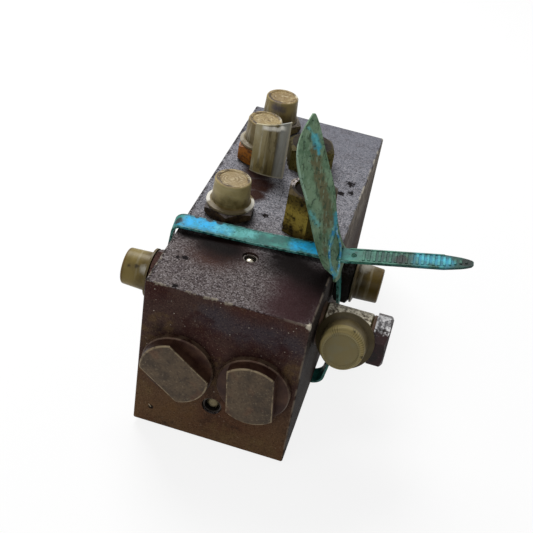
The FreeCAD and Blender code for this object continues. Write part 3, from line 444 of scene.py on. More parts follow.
def block_flank(steel, places, mottle, grain, blotches, warm):
    """The right flank, dark oxide and painted shade, paler near the top as a painted sheen, where the
    front's warm brown shows through a little to the rear.
    """
    across, along, height = places
    # Painted shade: the right flank is kept near black.
    flank = steel.mix((26, 21, 20), (44, 38, 36), mottle.step(0.4, 0.66))
    flank.cover((78, 72, 68), grain.step(0.46, 0.36) * across.step(0.0385, 0.0398) * 0.6)
    flank.cover((98, 86, 72), grain.step(0.43, 0.32) * 0.45)
    flank.cover((10, 8, 8), grain.step(0.56, 0.68) * 0.6)
    flank.cover(warm, along.step(-0.06, 0.03) * 0.35)
    # Painted sheen: paler streaks along the top of the flank.
    painted_sheen_near_top = height.step(TOP - 0.05, TOP - 0.006) * along.step(-0.04, 0.01)
    return flank.cover((124, 115, 103), painted_sheen_near_top * (blotches * 0.5 + mottle * 0.5).step(0.66, 0.34))


def steel_block():
    steel = Finish("oiled block steel", shine=0.02)
    facing = steel.parts(steel.node("TexCoord", out="Normal"))
    across, along, height = places = steel.parts(steel.place)
    up = facing[2].step(0.45, 0.8)
    aside = facing[0].step(0.5, 0.8)
    mottle = steel.cloud(0.011, detail=8, rough=0.7)
    grain = steel.cloud(0.0007, detail=2, rough=0.6)
    blotches = steel.cloud(0.0035, detail=5)
    dust_and_painted_light, oil, pits = block_top(steel, across, along, mottle, grain, blotches)
    warm, grit = block_front(steel, height.step(0.058, 0.006), mottle, grain, blotches)
    flank = block_flank(steel, places, mottle, grain, blotches, warm)
    warm.cover(flank, aside)
    warm.cover((22, 14, 10), steel.blot(DRILL_MARK, 0.0017, ragged=0.4))
    warm.cover((150, 138, 116), steel.stripe(*DRILL_GLINT, 0.0004) * 0.8)

    skin = warm.cover(dust_and_painted_light, up)
    edges = block_edges(steel, 0.0012) * across.step(0.02, 0.038)
    skin.cover((120, 110, 98), edges * 0.6)
    skin.cover((176, 170, 156), edges * along.step(0.0, 0.02) * 0.8)
    left_edge = across.step(-0.0374, -0.039) * up * (blotches + grain).step(0.86, 1.02)
    skin.cover((26, 22, 20), left_edge * 0.8)
    worn = steel.stripes(WORN_EDGE, ragged=1.3)
    skin.cover((138, 130, 114), worn * blotches.step(0.54, 0.42) * 0.6)
    chip = steel.blot((BLOCK_HIGH.x, FRONT, TOP), 0.0028, ragged=0.6)
    skin.cover((176, 168, 152), chip * 0.9)
    dry = 0.34 + mottle.step(0.3, 0.7) * 0.14
    steel.surface(skin, dry + up * (1 - oil) * 0.22 + aside * 0.3, metallic=0.2)
    steel.bump(grain * 0.6 + mottle * 0.5 - grit * 0.5 - pits, 0.0004, strength=0.6)
    return steel


dress(steel_block(), "valve_block")

# %% [markdown]
# Every fitting is round about its own axis, so its finish needs to know how far a point lies
# along that axis and out from it. The axis could be left to the eye, with a gradient turned
# by hand, but from the CAD box of the piece it comes out exactly.

# %% Round pieces
def middle(name):
    low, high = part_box(name)
    return (low + high) / 2


def round_about(finish, foot, axis):
    """How far a point lies along an axis, how far out from it, and its direction out."""
    offset = finish.place.minus(foot)
    along = offset.dot(axis)
    outward = offset.minus(finish.scaled(axis, along))
    return along, outward.length(), outward


print("left screw plug's middle", [round(part * 1000, 1) for part in middle("front_plug_left")], "mm")

# %% [markdown]
# The two screw plugs are turned steel, browned by oil, with a thin painted highlight round
# the edge of the head and a fainter one round the collar. The line follows the outline of
# the head: a circle cut by two flats, turned as each plug happened to be tightened.

# %% Screw plugs
PLUG_TURN = {"left": math.radians(-37.8), "right": math.radians(-84.4)}
PLUG_HEAD_RADIUS = 0.0174
PLUG_HALF_FLATS = 0.0115
PLUG_COLLAR_RADIUS = 0.0182
PLUG_FACE_OUT = 0.0085
BORE_HEIGHT = 0.045


def plug_steel(side):
    steel = Finish("plug steel " + side, shine=0.2)
    mouth = (middle("front_plug_" + side).x, FRONT, BORE_HEIGHT)
    across_flats = (-math.sin(PLUG_TURN[side]), 0, math.cos(PLUG_TURN[side]))
    flat = abs(steel.place.minus(mouth).dot(across_flats))
    along, radius = round_about(steel, mouth, (0, -1, 0))[:2]
    head_rim_highlight = steel.either(radius.step(PLUG_HEAD_RADIUS - 0.0011, PLUG_HEAD_RADIUS - 0.0005),
                            flat.step(PLUG_HALF_FLATS - 0.0007, PLUG_HALF_FLATS - 0.0002))
    face = along.step(PLUG_FACE_OUT - 0.0007, PLUG_FACE_OUT - 0.0004)
    collar_rim_highlight = radius.step(PLUG_COLLAR_RADIUS - 0.0007, PLUG_COLLAR_RADIUS - 0.0002)
    mottle = steel.cloud(0.007, detail=7, rough=0.6)
    fine = steel.cloud(0.001, detail=2)
    skin = steel.mix((44, 24, 18), (70, 48, 36), mottle.step(0.35, 0.7))
    on_face = steel.mix((58, 48, 38), (84, 70, 54), mottle.step(0.3, 0.66))
    on_face.cover((40, 30, 24), fine.step(0.56, 0.7) * 0.6)
    on_face.cover((116, 103, 84), fine.step(0.4, 0.28) * 0.5)
    skin.cover(on_face, face)
    broken = steel.cloud(0.0034, detail=5).step(0.36, 0.54)
    skin.cover((104, 58, 38), face * steel.cloud(0.009).step(0.54, 0.68) * 0.18)
    # Painted highlights on the head's edge and the collar's rim.
    skin.cover((150, 134, 106), head_rim_highlight * face * broken * 0.6)
    skin.cover((112, 96, 78), collar_rim_highlight * broken * 0.35)
    steel.surface(skin, 0.42 + mottle * 0.12, metallic=0.3)
    steel.bump(mottle + fine * 0.3, 0.0002, strength=0.4)
    return steel


for side in ("left", "right"):
    dress(plug_steel(side), "front_plug_" + side)

# %% [markdown]
# The hose adapters, the banjo and its bolt, the switch and the low hexagon plug are zinc
# plated and then passivated yellow. Years of oil turn that finish olive, and only the one
# under the middle cap has kept its amber. They share one recipe with three colours: the
# clean plating, the dirt in its hollows and the metal that shows on the edges.

# %% Plated fittings
SWITCH_DARK_ABOVE = (0.1105, 0.1165)
SWITCH_DARK_BELOW = (0.093, 0.0885)


def plating(name, clean, dirt, bare, cleanness=0.5, dust=0.6, film=((64, 57, 56), (118, 112, 114)),
            highlight_above=None, shaded_side=None, dust_spot=None, shine=0.25):
    """Three colours of plating, and a film of dust or oil on the upward faces, which on the banjo bolt is a
    white painted highlight.
    """
    zinc = Finish(name, shine)
    normal = zinc.node("TexCoord", out="Normal")
    height = zinc.parts(zinc.place)[2]
    up = zinc.parts(normal)[2].step(0.7, 0.95)
    mottle = zinc.cloud(0.005, detail=7, rough=0.65)
    fine = zinc.cloud(0.0012, detail=3)
    skin = zinc.mix(clean, dirt, mottle.step(0.7 - cleanness * 0.3, 0.5 - cleanness * 0.3))
    skin.cover(bare, fine.step(0.6, 0.74) * 0.5)
    skin.cover((28, 22, 15), fine.step(0.46, 0.34) * 0.65)
    top_film_and_glint = zinc.mix(*film, (mottle + fine * 0.6).step(0.66, 0.9))
    top_film_and_glint.cover((22, 16, 14), fine.step(0.4, 0.32) * 0.7)
    if dust_spot:
        top_film_and_glint.cover((156, 148, 146), zinc.blot(*dust_spot) * fine.step(0.44, 0.54) * 0.85)
    if highlight_above:
        uneven = height + (fine - 0.5) * 0.006
        up = up * uneven.step(highlight_above - 0.001, highlight_above + 0.001)
    # Painted shade: the side in the flag's shadow turns dark, and so do bands near the top and the foot.
    if shaded_side:
        shaded = zinc.either(normal.dot(shaded_side).step(0.6, 0.9),
                             (height + mottle * 0.012).step(*SWITCH_DARK_ABOVE),
                             (height - mottle * 0.008).step(*SWITCH_DARK_BELOW))
        skin.cover((34, 26, 18), shaded * 0.75)
    skin.cover(top_film_and_glint, up * dust)
    zinc.surface(skin, 0.38 + mottle * 0.2, metallic=0.3)
    zinc.bump(mottle + fine * 0.4, 0.0003, strength=0.5)
    return zinc


dress(plating("olive zinc", (96, 82, 44), (44, 34, 22), (122, 112, 84)), "adapter_top_rear")
dress(plating("oily zinc", (60, 46, 28), (28, 18, 12), (92, 80, 58)), "adapter_top_front")
dress(plating("amber zinc", (136, 80, 4), (56, 28, 2), (176, 118, 40), cleanness=0.4, dust=0.3),
      "adapter_top_middle")
dress(plating("red oily zinc", (62, 44, 32), (30, 18, 16), (104, 92, 76),
              film=((36, 20, 22), (78, 56, 58)), shine=0.05), "adapter_left_side")
dress(plating("black oily zinc", (16, 12, 8), (6, 4, 2), (56, 54, 50), dust=1.0,
              film=((10, 8, 7), (34, 31, 29)), dust_spot=((0.0446, -0.0198, 0.0724), 0.0048), shine=0.05),
      "adapter_right_side")

# %% Plated banjo, switch and low plug
dress(plating("banjo zinc", (96, 84, 50), (52, 40, 26), (150, 138, 104), dust=0.95,
              film=((70, 58, 42), (194, 187, 168))), "banjo_body")
# The bolt's white film on its upper faces is a painted highlight.
dress(plating("bolt zinc", (36, 16, 18), (14, 6, 7), (84, 74, 70), dust=1.0,
              film=((100, 98, 100), (232, 231, 232)), highlight_above=0.072), "banjo_bolt")
dress(plating("switch zinc", (158, 134, 60), (34, 26, 14), (160, 142, 80), dust=0.98,
              film=((12, 8, 6), (34, 28, 23)), shaded_side=(0.607, -0.794, 0),
              dust_spot=((0.007, -0.015, 0.114), 0.008), shine=0.04), "pressure_switch_body")
dress(plating("plug zinc", (98, 90, 48), (40, 30, 20), (124, 116, 80), cleanness=0.55, dust=1.0,
              film=((10, 6, 5), (40, 34, 26)), shine=0.04), "hex_plug")

# %% [markdown]
# The slip-on caps are thin soft polyethylene, yellowed and cloudy, and what they cover shows
# through them as darker clouds. A Principled shader with a little transmission gives the
# cloudiness. Streaks come from noise that is stretched along the cap's own axis, or round its
# wall on the caps that have bands there. Their tops are scratched round and round from
# handling: a sine of the distance from the axis makes rings, and noise breaks them up.

# %% Cap tops
RING_WAVES = 9000
SWEEP_WAVES = 2600


def cap_top(plastic, tint, radius, outward, streaks, clouds, rings):
    """The flat end of a slip-on cap, tanned and scratched, with dirt inside its rim and a painted highlight
    on the right of it.
    """
    scuffs = plastic.cloud(0.0012, detail=3)
    top = plastic.mix(tint, (96, 76, 46), clouds.step(0.52, 0.76) * 0.6)
    top.cover((190, 176, 142), (scuffs + rings * 0.07).step(0.5, 0.66) * 0.45)
    top.cover((92, 70, 40), (rings * 0.2 + clouds).step(0.52, 0.7) * 0.5)
    sweep = (radius * SWEEP_WAVES + plastic.cloud(0.009, detail=2) * 34).sine()
    worn = plastic.cloud(0.0042, detail=4).step(0.46, 0.6)
    top.cover((84, 62, 34), (sweep + scuffs).step(1.15, 1.45) * worn * 0.7)
    top.cover((212, 198, 164), (sweep + scuffs).step(-0.15, -0.45) * worn * 0.45)
    # Painted highlight: a pale crescent on the right of the rim.
    painted_rim_highlight = outward.dot((0.9, 0.44, 0)).step(0.0072, 0.0086)
    top.cover((232, 226, 208), painted_rim_highlight * (streaks + clouds).step(1.2, 0.86) * 0.8)
    dirt_ring = radius.step(0.0066, 0.0073) * radius.step(0.0088, 0.0083)
    to_front_left = outward.dot((-0.64, -0.77, 0))
    dirt_share = plastic.either(clouds.step(0.46, 0.58), to_front_left.step(0.0035, 0.0062))
    return top.cover((52, 38, 24), dirt_ring * dirt_share * scuffs.step(0.34, 0.5) * 0.9)


def banjo_cap_top(plastic, tint, radius, clouds, teeth, face):
    """The end of the banjo's cap, plainer, with a pale ring and ridges round its edge."""
    fringe = radius.step(face - 0.0026, face - 0.0012)
    top = plastic.mix(tint, (120, 116, 92), clouds.step(0.46, 0.66) * 0.6)
    top.cover((66, 54, 26), teeth.step(0.2, 0.9) * fringe * 0.5)
    ring = radius.step(face - 0.0014, face - 0.001) * radius.step(face - 0.0003, face - 0.0006)
    return top.cover((150, 140, 100), ring * clouds.step(0.62, 0.46) * 0.7)


ring_gaps = [round(math.tau / waves * 1000, 1) for waves in (RING_WAVES, SWEEP_WAVES)]
print("rings on the cap tops are", *ring_gaps, "mm apart")

# %% Cap walls
BANDED_CAPS = ("top_front", "left_side", "right_side", "banjo")


def reach_along(name, axis):
    """The lowest and highest that a CAD node comes along an axis."""
    heights = [vertex.co.dot(axis) for vertex in NODES[name].data.vertices]
    return min(heights), max(heights)


def cap_plastic(name, axis, wall, shade, top, streak, brim, ridges=0, marks=(), face=0.0092):
    plastic = Finish("cap plastic " + name, shine=0.12, Transmission_Weight=0.12, IOR=1.45)
    axis = Vector(axis)
    foot, tip = reach_along("cap_" + name, axis)
    length = tip - foot
    centre = middle("cap_" + name)
    height, radius, outward = round_about(plastic, centre - axis * (axis.dot(centre) - foot), axis)
    round_share, rise_share = (0.12, 1.0) if name in BANDED_CAPS else (1.0, 0.1)
    risen = plastic.scaled(axis, height * rise_share)
    spread = plastic.scaled(outward, round_share)
    streaks = plastic.cloud(0.0026, detail=3, where=plastic.vector("ADD", spread, risen))
    clouds = plastic.cloud(0.0075, detail=5)
    broken = plastic.cloud(0.004, where=plastic.scaled(outward, 0.4))
    rings = (radius * RING_WAVES + broken * 14).sine()
    on_top = height.step(length - 0.001, length - 0.0005) * radius.step(face, face - 0.0006)
    on_wall = 1 - on_top
    low_wall = height.step(length * 0.75, length * 0.15)
    skin = plastic.mix(wall, shade, (clouds * 0.6 + low_wall * 0.2).step(0.26, 0.56))
    skin.cover((206, 200, 178), streaks.step(0.56, 0.72) * on_wall * streak)
    skin.cover((70, 58, 34), streaks.step(0.4, 0.28) * on_wall * 0.4)
    sideways = abs(plastic.parts(outward)[0])
    # Painted highlight: the brim turns pale at its left and right sides.
    brim_tint = plastic.mix((104, 92, 68), (222, 219, 208), (sideways - radius * 0.8).step(0, 0.0012))
    if ridges:
        brim_tint = (46, 40, 28)
    skin.cover(brim_tint, radius.step(0.0104, 0.011) * brim)
    if ridges:
        level = Vector((1, 0, 0))
        to_side = outward.dot(level)
        turn = plastic.sum("ARCTAN2", outward.dot(level.cross(axis)), to_side)
        teeth = (turn * ridges).sine()
        tanned = banjo_cap_top(plastic, top, radius, clouds, teeth, face)
        golden = height.step(length - 0.0042, length - 0.0026) * on_wall
        skin.cover((146, 132, 86), golden * 0.8)
        bitten = plastic.either(clouds.step(0.5, 0.6), (to_side + clouds * 0.004).step(0.003, 0.007))
        skin.cover((66, 54, 26), golden * teeth.step(0.2, 0.9) * bitten * 0.6)
    else:
        tanned = cap_top(plastic, top, radius, outward, streaks, clouds, rings)
        if abs(axis.z) < 0.5:
            tip_edge = height.step(length - 0.0018, length - 0.0008) * on_wall
            skin.cover((88, 66, 28), tip_edge * clouds.step(0.36, 0.52) * 0.7)
    skin.cover(tanned, on_top)
    for place, reach, tint in marks:
        skin.cover(tint, plastic.blot(place, reach, full=0.1, ragged=0.5) * 0.85)
    plastic.surface(skin, 0.34 + clouds * 0.15)
    plastic.bump(streaks * 0.6 + rings * on_top * 0.15 + clouds, 0.0003, strength=0.4)
    return plastic


print("caps with bands round the wall:", *BANDED_CAPS)

# %% [markdown]
# Each cap gets its own colours for wall, shade and top, its share of pale streaks and of the
# brim's tint, tan dirt with a painted highlight at its left and right sides, and the marks that
# are seen on it: grey patches, painted highlights and small dark nicks.

# %% Caps
UP, LEFT, RIGHT = (0, 0, 1), (-1, 0, 0), (1, 0, 0)
CAPS = {
    "top_front": (UP, (168, 152, 106), (90, 76, 40), (141, 122, 84), 0.22, 0.8),
    "top_middle": (UP, (126, 111, 76), (86, 74, 46), (144, 125, 83), 0.4, 0.25),
    "top_rear": (UP, (146, 130, 84), (86, 72, 42), (130, 109, 68), 0.35, 0.3),
    "left_side": (LEFT, (122, 106, 58), (80, 66, 30), (120, 104, 66), 0.14, 0.4),
    "right_side": (RIGHT, (80, 64, 22), (50, 40, 14), (98, 82, 38), 0.14, 0.3),
}
CAP_MARKS_AND_HIGHLIGHTS = {
    "top_rear": [
        ((-0.0222, 0.0672, 0.1066), 0.0052, (80, 77, 92)),
        ((-0.018, 0.066, 0.1058), 0.004, (74, 72, 80)),
    ],
    "top_front": [((-0.012, -0.033, 0.1075), 0.0022, (52, 42, 26))],
    # The first left_side mark and the right_side mark are painted highlights near the brim.
    "left_side": [
        ((-0.0488, -0.0711, 0.0762), 0.0036, (164, 160, 146)),
        ((-0.0526, -0.0702, 0.0765), 0.0019, (36, 26, 12)),
        ((-0.0566, -0.0706, 0.0758), 0.0014, (48, 36, 18)),
    ],
    "right_side": [((0.0535, -0.0118, 0.073), 0.007, (140, 137, 126))],
    "banjo": [
        ((0.0586, -0.0761, 0.0795), 0.0013, (34, 26, 6)),
        ((0.065, -0.0805, 0.069), 0.0013, (34, 26, 6)),
    ],
}
BANJO_TILT = math.radians(19)
BANJO_AXIS = (0, -math.cos(BANJO_TILT), math.sin(BANJO_TILT))
for name, recipe in CAPS.items():
    dress(cap_plastic(name, *recipe, marks=CAP_MARKS_AND_HIGHLIGHTS.get(name, ())), "cap_" + name)
dress(cap_plastic("banjo", BANJO_AXIS, (158, 140, 94), (108, 94, 60), (122, 111, 76), 0.15, 0.7,
                  ridges=60, marks=CAP_MARKS_AND_HIGHLIGHTS["banjo"], face=0.0098), "cap_banjo")

# %% [markdown]
# The torn sleeve is a rag of clear tube, split and flattened, with white stress marks
# running up it, a dark oily end and a painted glint across its middle. It could be clear all
# through, but a cloudy plastic with streaks is nearer to what is seen.

# %% Torn sleeve
SLEEVE_GLINT = 0.1185


def sleeve_plastic():
    plastic = Finish("torn sleeve plastic", shine=0.15, Transmission_Weight=0.1, IOR=1.45)
    across, height = plastic.parts(plastic.place)[::2]
    low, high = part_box("torn_sleeve")
    streaks = plastic.cloud(0.0022, detail=4, stretch=(1, 1, 0.08))
    clouds = plastic.cloud(0.007, detail=4)
    lift = (height - low.z) * (1 / (high.z - low.z))
    skin = plastic.mix((138, 124, 80), (170, 160, 128), (clouds * 0.5 + lift * 0.6).step(0.3, 0.86))
    past_left = across.step(low.x + 0.005, low.x + 0.009)
    skin.cover((88, 78, 50), streaks.step(0.5, 0.6) * past_left * 0.8)
    skin.cover((190, 186, 164), streaks.step(0.46, 0.36) * 0.5)
    grubby = plastic.cloud(0.004, detail=6, rough=0.65, stretch=(1, 1, 0.45))
    skin.cover((70, 60, 38), grubby.step(0.52, 0.66) * 0.55)
    skin.cover((176, 170, 146), grubby.step(0.44, 0.34) * 0.35)
    dark = across.step(low.x + 0.0065, low.x + 0.0085) * across.step(low.x + 0.015, low.x + 0.012)
    skin.cover((62, 54, 36), dark * (1 - lift * 0.6) * 0.5)
    right = across.step(high.x - 0.007, high.x - 0.0045)
    skin.cover((128, 134, 140), right * 0.65)
    # Painted glint: a white band across the sleeve's middle.
    uneven = height - (across - low.x - 0.004) * 0.22 + (clouds - 0.5) * 0.003 + (streaks - 0.5) * 0.003
    glint = uneven.step(SLEEVE_GLINT - 0.0024, SLEEVE_GLINT - 0.0008)
    glint = glint * uneven.step(SLEEVE_GLINT + 0.0015, SLEEVE_GLINT + 0.0005)
    glint = glint * across.step(low.x + 0.003, low.x + 0.006)
    glint = glint * across.step(high.x - 0.0015, high.x - 0.005)
    skin.cover((252, 249, 240), glint * (0.6 + streaks.step(0.56, 0.42) * 0.4))
    edge = plastic.either(across.step(high.x - 0.0012, high.x - 0.0006),
                          height.step(low.z + 0.001, low.z + 0.0004))
    skin.cover((176, 168, 146), edge * 0.7)
    plastic.surface(skin, 0.3)
    plastic.bump(streaks * 0.7 + clouds, 0.0006, strength=0.4)
    return plastic


dress(sleeve_plastic(), "torn_sleeve")

# %% [markdown]
# The marker tie is one moulding of teal plastic. It has faded to sky blue where it lies in
# the light, grown a grey-green film on the flag, and picked up dark oil. The film's scuffs
# are noise, while the bright patches, the flag's spine, a painted highlight along the flag's
# left edge and the smudges are stripes and blots at the places where they are seen.

# %% Marker tie
TIE_TURN = math.radians(5.9)
TIE_TILT = math.radians(8.5)
TIE_BEHIND_FRONT = 0.0529
TIE_HALF_WIDTH = 0.00475
tie_plane = (Matrix.Translation((0, FRONT + TIE_BEHIND_FRONT, TOP))
             @ Matrix.Rotation(TIE_TURN, 4, "Z") @ Matrix.Rotation(TIE_TILT, 4, "X"))
STRAP_SKY = [
    ((-0.035, -0.0462, 0.094), (-0.022, -0.045, 0.0938), 0.0085),
    ((-0.022, -0.0442, 0.0938), (-0.015, -0.0436, 0.0938), 0.0048),
    ((0.0195, -0.0405, 0.0938), (0.033, -0.039, 0.0938), 0.0058),
]
TAIL_SKY = [
    ((0.079, -0.035, 0.1), (0.092, -0.0345, 0.102), 0.006),
]
FLAG_SKY = [
    ((0.0176, -0.0396, 0.1539), (0.0198, -0.0394, 0.1495), 0.0028),
    ((0.0196, -0.0394, 0.15), (0.021, -0.0398, 0.1462), 0.0013),
    ((0.0346, -0.0375, 0.115), (0.0354, -0.0375, 0.1085), 0.002),
    ((0.0353, -0.038, 0.106), (0.035, -0.0415, 0.1), 0.0024),
    ((0.0418, -0.0532, 0.0899), (0.0395, -0.0515, 0.093), 0.0026),
]
STRAP_PALE = [
    ((-0.02, -0.044, 0.0938), (-0.004, -0.0428, 0.0938), 0.006),
]
FLAG_PALE = [
    ((0.014, -0.0407, 0.1584), (0.0176, -0.0396, 0.1539), 0.0011),
    ((0.018, -0.0395, 0.1532), (0.0198, -0.0394, 0.1502), 0.0016),
    ((0.0236, -0.0462, 0.1175), (0.0272, -0.0446, 0.111), 0.0022),
]
FLAG_SPINE = [
    ((0.0177, -0.0408, 0.1492), (0.0204, -0.0409, 0.1425), 0.0022),
    ((0.0204, -0.0409, 0.1425), (0.0247, -0.0409, 0.1317), 0.0036),
    ((0.0247, -0.0409, 0.1317), (0.0286, -0.0404, 0.123), 0.0032),
    ((0.0286, -0.0404, 0.123), (0.033, -0.0405, 0.111), 0.0042),
    ((0.032, -0.043, 0.109), (0.035, -0.047, 0.099), 0.0028),
]
FLAG_EDGE_HIGHLIGHT = [
    ((0.0111, -0.0437, 0.1499), (0.012, -0.0452, 0.144), 0.0007),
    ((0.012, -0.0452, 0.144), (0.0158, -0.0459, 0.1335), 0.0007),
    ((0.0158, -0.0459, 0.1335), (0.0205, -0.0462, 0.1239), 0.0007),
]
SMUDGES = [
    ((-0.0405, -0.047, 0.093), 0.003),
    ((-0.033, -0.0415, 0.0944), 0.0016),
    ((-0.0262, -0.0408, 0.0943), 0.0024),
    ((-0.0212, -0.0404, 0.0941), 0.0025),
    ((0.07, -0.037, 0.099), 0.004),
    ((0.101, -0.0335, 0.104), 0.004),
]


def worn_strap(plastic, skin, clouds, fine, faded, broken):
    """The strap's dark margins with rubbed edges, and its tail."""
    from_line = abs(plastic.place.minus(tuple(tie_plane.translation)).dot(tuple(tie_plane.col[1].xyz)))
    margin = from_line.step(TIE_HALF_WIDTH - 0.0012, TIE_HALF_WIDTH - 0.0006)
    skin.cover((12, 44, 40), margin * clouds.step(0.36, 0.54) * 0.75)
    rubbed = from_line.step(TIE_HALF_WIDTH - 0.0004, TIE_HALF_WIDTH - 0.0001)
    skin.cover((110, 176, 166), rubbed * fine.step(0.6, 0.44) * 0.6)
    across = plastic.parts(plastic.place)[0]
    on_tail = across.step(0.046, 0.052) * (1 - faded)
    skin.cover((24, 52, 44), on_tail * 0.8)
    tail_foot = on_tail * across.step(0.0575, 0.056)
    skin.cover((66, 122, 104), tail_foot * clouds.step(0.36, 0.6) * 0.7)
    tail_faded = plastic.stripes(TAIL_SKY, full=0.1, ragged=0.7)
    return skin.cover((48, 150, 180), tail_faded * (0.4 + broken * 0.4))


def tie_plastic(name, dark, light, sky, fade, film=False, ribs=False):
    plastic = Finish(name, shine=0.15)
    clouds = plastic.cloud(0.008, detail=6, rough=0.6)
    fine = plastic.cloud(0.0016, detail=4)
    skin = plastic.mix(dark, light, clouds.step(0.4, 0.62))
    if film:
        scuffs = plastic.cloud(0.0016, detail=5, rough=0.6, stretch=(1, 1, 0.22))
        spine = plastic.stripes(FLAG_SPINE, ragged=0.7) * (scuffs + clouds).step(0.74, 0.98)
        skin.cover((94, 84, 56), spine * 0.8)
        skin.cover((132, 160, 138), scuffs.step(0.54, 0.66) * 0.6)
        skin.cover((46, 60, 44), scuffs.step(0.45, 0.36) * 0.7)
        # Painted highlight: a pale line along the flag's left edge.
        skin.cover((150, 180, 160), plastic.stripes(FLAG_EDGE_HIGHLIGHT) * 0.7)
    faded = plastic.stripes(sky, full=0.1, ragged=0.7)
    broken = plastic.cloud(0.0022, detail=5, rough=0.65).step(0.62, 0.46)
    skin.cover(fade, faded * (0.55 + broken * 0.4))
    pale = plastic.stripes(FLAG_PALE if film else STRAP_PALE, full=0.1, ragged=0.8)
    skin.cover((104, 182, 182), pale * (0.25 + broken * 0.45))
    skin.cover((22, 42, 38), fine.step(0.57, 0.7) * 0.7)
    if ribs:
        grimy = plastic.blot((0.0735, -0.036, 0.099), 0.0085, full=0.1, ragged=0.8)
        skin.cover((48, 44, 32), grimy * 0.6)
    elif not film:
        skin = worn_strap(plastic, skin, clouds, fine, faded, broken)
    skin.cover((18, 24, 22), plastic.blots(SMUDGES, ragged=0.4) * 0.92)
    plastic.surface(skin, 0.4 + clouds * 0.2)
    plastic.bump(fine * 0.5 + clouds, 0.0004, strength=0.5)
    return plastic


dress(tie_plastic("tie plastic", (16, 84, 78), (52, 122, 112), STRAP_SKY, (16, 162, 220)), "tie_strap")
dress(tie_plastic("flag plastic", (84, 112, 86), (118, 144, 116), FLAG_SKY, (66, 156, 176), film=True),
      "tie_flag")
rib_plastic = tie_plastic("rib plastic", (26, 70, 58), (66, 118, 100), TAIL_SKY, (70, 178, 196), ribs=True)

# %% [markdown]
# The strap's tail has cross ribs between two smooth rails, which the flag's slot grips when
# the tie is pulled tight. In CAD they would cost many faces, so they are modelled here. Each
# rib is a cube with bevelled edges, and a loop sets them along the tail, shorter towards its
# tip. The tie lies in a plane that is turned a little and leans back, so a matrix takes flat
# drawings to that plane.

# %% Helpers for new pieces
def only(piece):
    """Makes one object the only selected and active one."""
    bpy.ops.object.select_all(action="DESELECT")
    piece.select_set(True)
    bpy.context.view_layer.objects.active = piece


def set_in(piece, matrix):
    """Moves a finished piece into place, with its place in its mesh."""
    only(piece)
    piece.matrix_world = matrix @ piece.matrix_world
    bpy.ops.object.transform_apply()
    return piece


def apply_modifier(piece, kind, **settings):
    only(piece)
    modifier = piece.modifiers.new(kind.lower(), kind)
    for setting, value in settings.items():
        setattr(modifier, setting, value)
    bpy.ops.object.modifier_apply(modifier=modifier.name)


def join(name, pieces):
    only(pieces[0])
    for piece in pieces[1:]:
        piece.select_set(True)
    bpy.ops.object.join()
    joined = bpy.context.object
    joined.name = joined.data.name = name
    return joined


print("the tie's plane is turned", round(math.degrees(TIE_TURN), 1), "degrees")

# %% Ribs and rails on the tail
TIE_HALF_THICKNESS = 0.00065
TAIL_START = (0.0427, 0.003)
TAIL_END = (0.1046, 0.0152)
TAIL_RISE = math.atan2(TAIL_END[1] - TAIL_START[1], TAIL_END[0] - TAIL_START[0])
TAIL_LENGTH = math.dist(TAIL_START, TAIL_END)
TAIL_TAPER = 0.014
RIB_PITCH = 0.0026
RIB_HEIGHT = 0.00045
RAIL_WIDTH = 0.0009
RAIL_START = 0.003
RIBS_START = 0.0095
RIBS_END = TAIL_LENGTH - 0.004

tail_frame = (tie_plane @ Matrix.Translation((TAIL_START[0], 0, TAIL_START[1]))
              @ Matrix.Rotation(-TAIL_RISE, 4, "Y") @ Matrix.Translation((0, 0, TIE_HALF_THICKNESS)))


def bar(length, width, height, start, across):
    """A rounded bar that lies on the tail's upper face, a little sunk in it."""
    sunk = 0.0002
    bpy.ops.mesh.primitive_cube_add(size=1, location=(start + length / 2, across, (height - sunk) / 2))
    piece = bpy.context.object
    piece.scale = (length, width, height + sunk)
    bpy.ops.object.transform_apply()
    apply_modifier(piece, "BEVEL", width=min(length, height) * 0.35, segments=2)
    return piece


ribs = []
rib_start = RIBS_START
while rib_start < RIBS_END:
    to_tip = TAIL_LENGTH - rib_start - 0.002
    half = (TIE_HALF_WIDTH - RAIL_WIDTH * 1.4) * min(1, max(0.2, to_tip / TAIL_TAPER))
    ribs.append(bar(RIB_PITCH * 0.5, half * 2, RIB_HEIGHT, rib_start, 0))
    rib_start += RIB_PITCH
rail_length = TAIL_LENGTH - TAIL_TAPER - RAIL_START
rail_middle = TIE_HALF_WIDTH - RAIL_WIDTH / 2
rails = [bar(rail_length, RAIL_WIDTH, RIB_HEIGHT * 0.8, RAIL_START, side * rail_middle) for side in (1, -1)]
tail_ribs = set_in(join("tail_ribs", ribs + rails), tail_frame)
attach(tail_ribs, "valve")
print(len(ribs), "ribs on a tail of", round(TAIL_LENGTH * 1000), "mm")

# %% [markdown]
# Before the ribs start, the tail has one small round stud, the gate mark of the moulding. A
# sphere pressed flat and sunk into a low ring looks right from every side.

# %% Gate mark
GATE_PLACE = 0.0052
bpy.ops.mesh.primitive_torus_add(major_radius=0.0011, minor_radius=0.00035,
                                 major_segments=24, minor_segments=8)
ring = bpy.context.object
bpy.ops.mesh.primitive_uv_sphere_add(radius=0.0007, segments=16, ring_count=8, scale=(1, 1, 0.5))
stud = bpy.context.object
gate_mark = set_in(join("gate_mark", [ring, stud]), tail_frame @ Matrix.Translation((GATE_PLACE, 0, 0)))
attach(gate_mark, "valve")
print("gate mark", len(gate_mark.data.polygons), "faces")

# %% [markdown]
# The slot in the flag has a raised lozenge rim, where the moulding is thick enough to hold
# the tail. It is drawn as a closed curve through a few points on the flag and given a round
# section. A torus would do for an oval, but a curve keeps its thickness at the sharp ends.

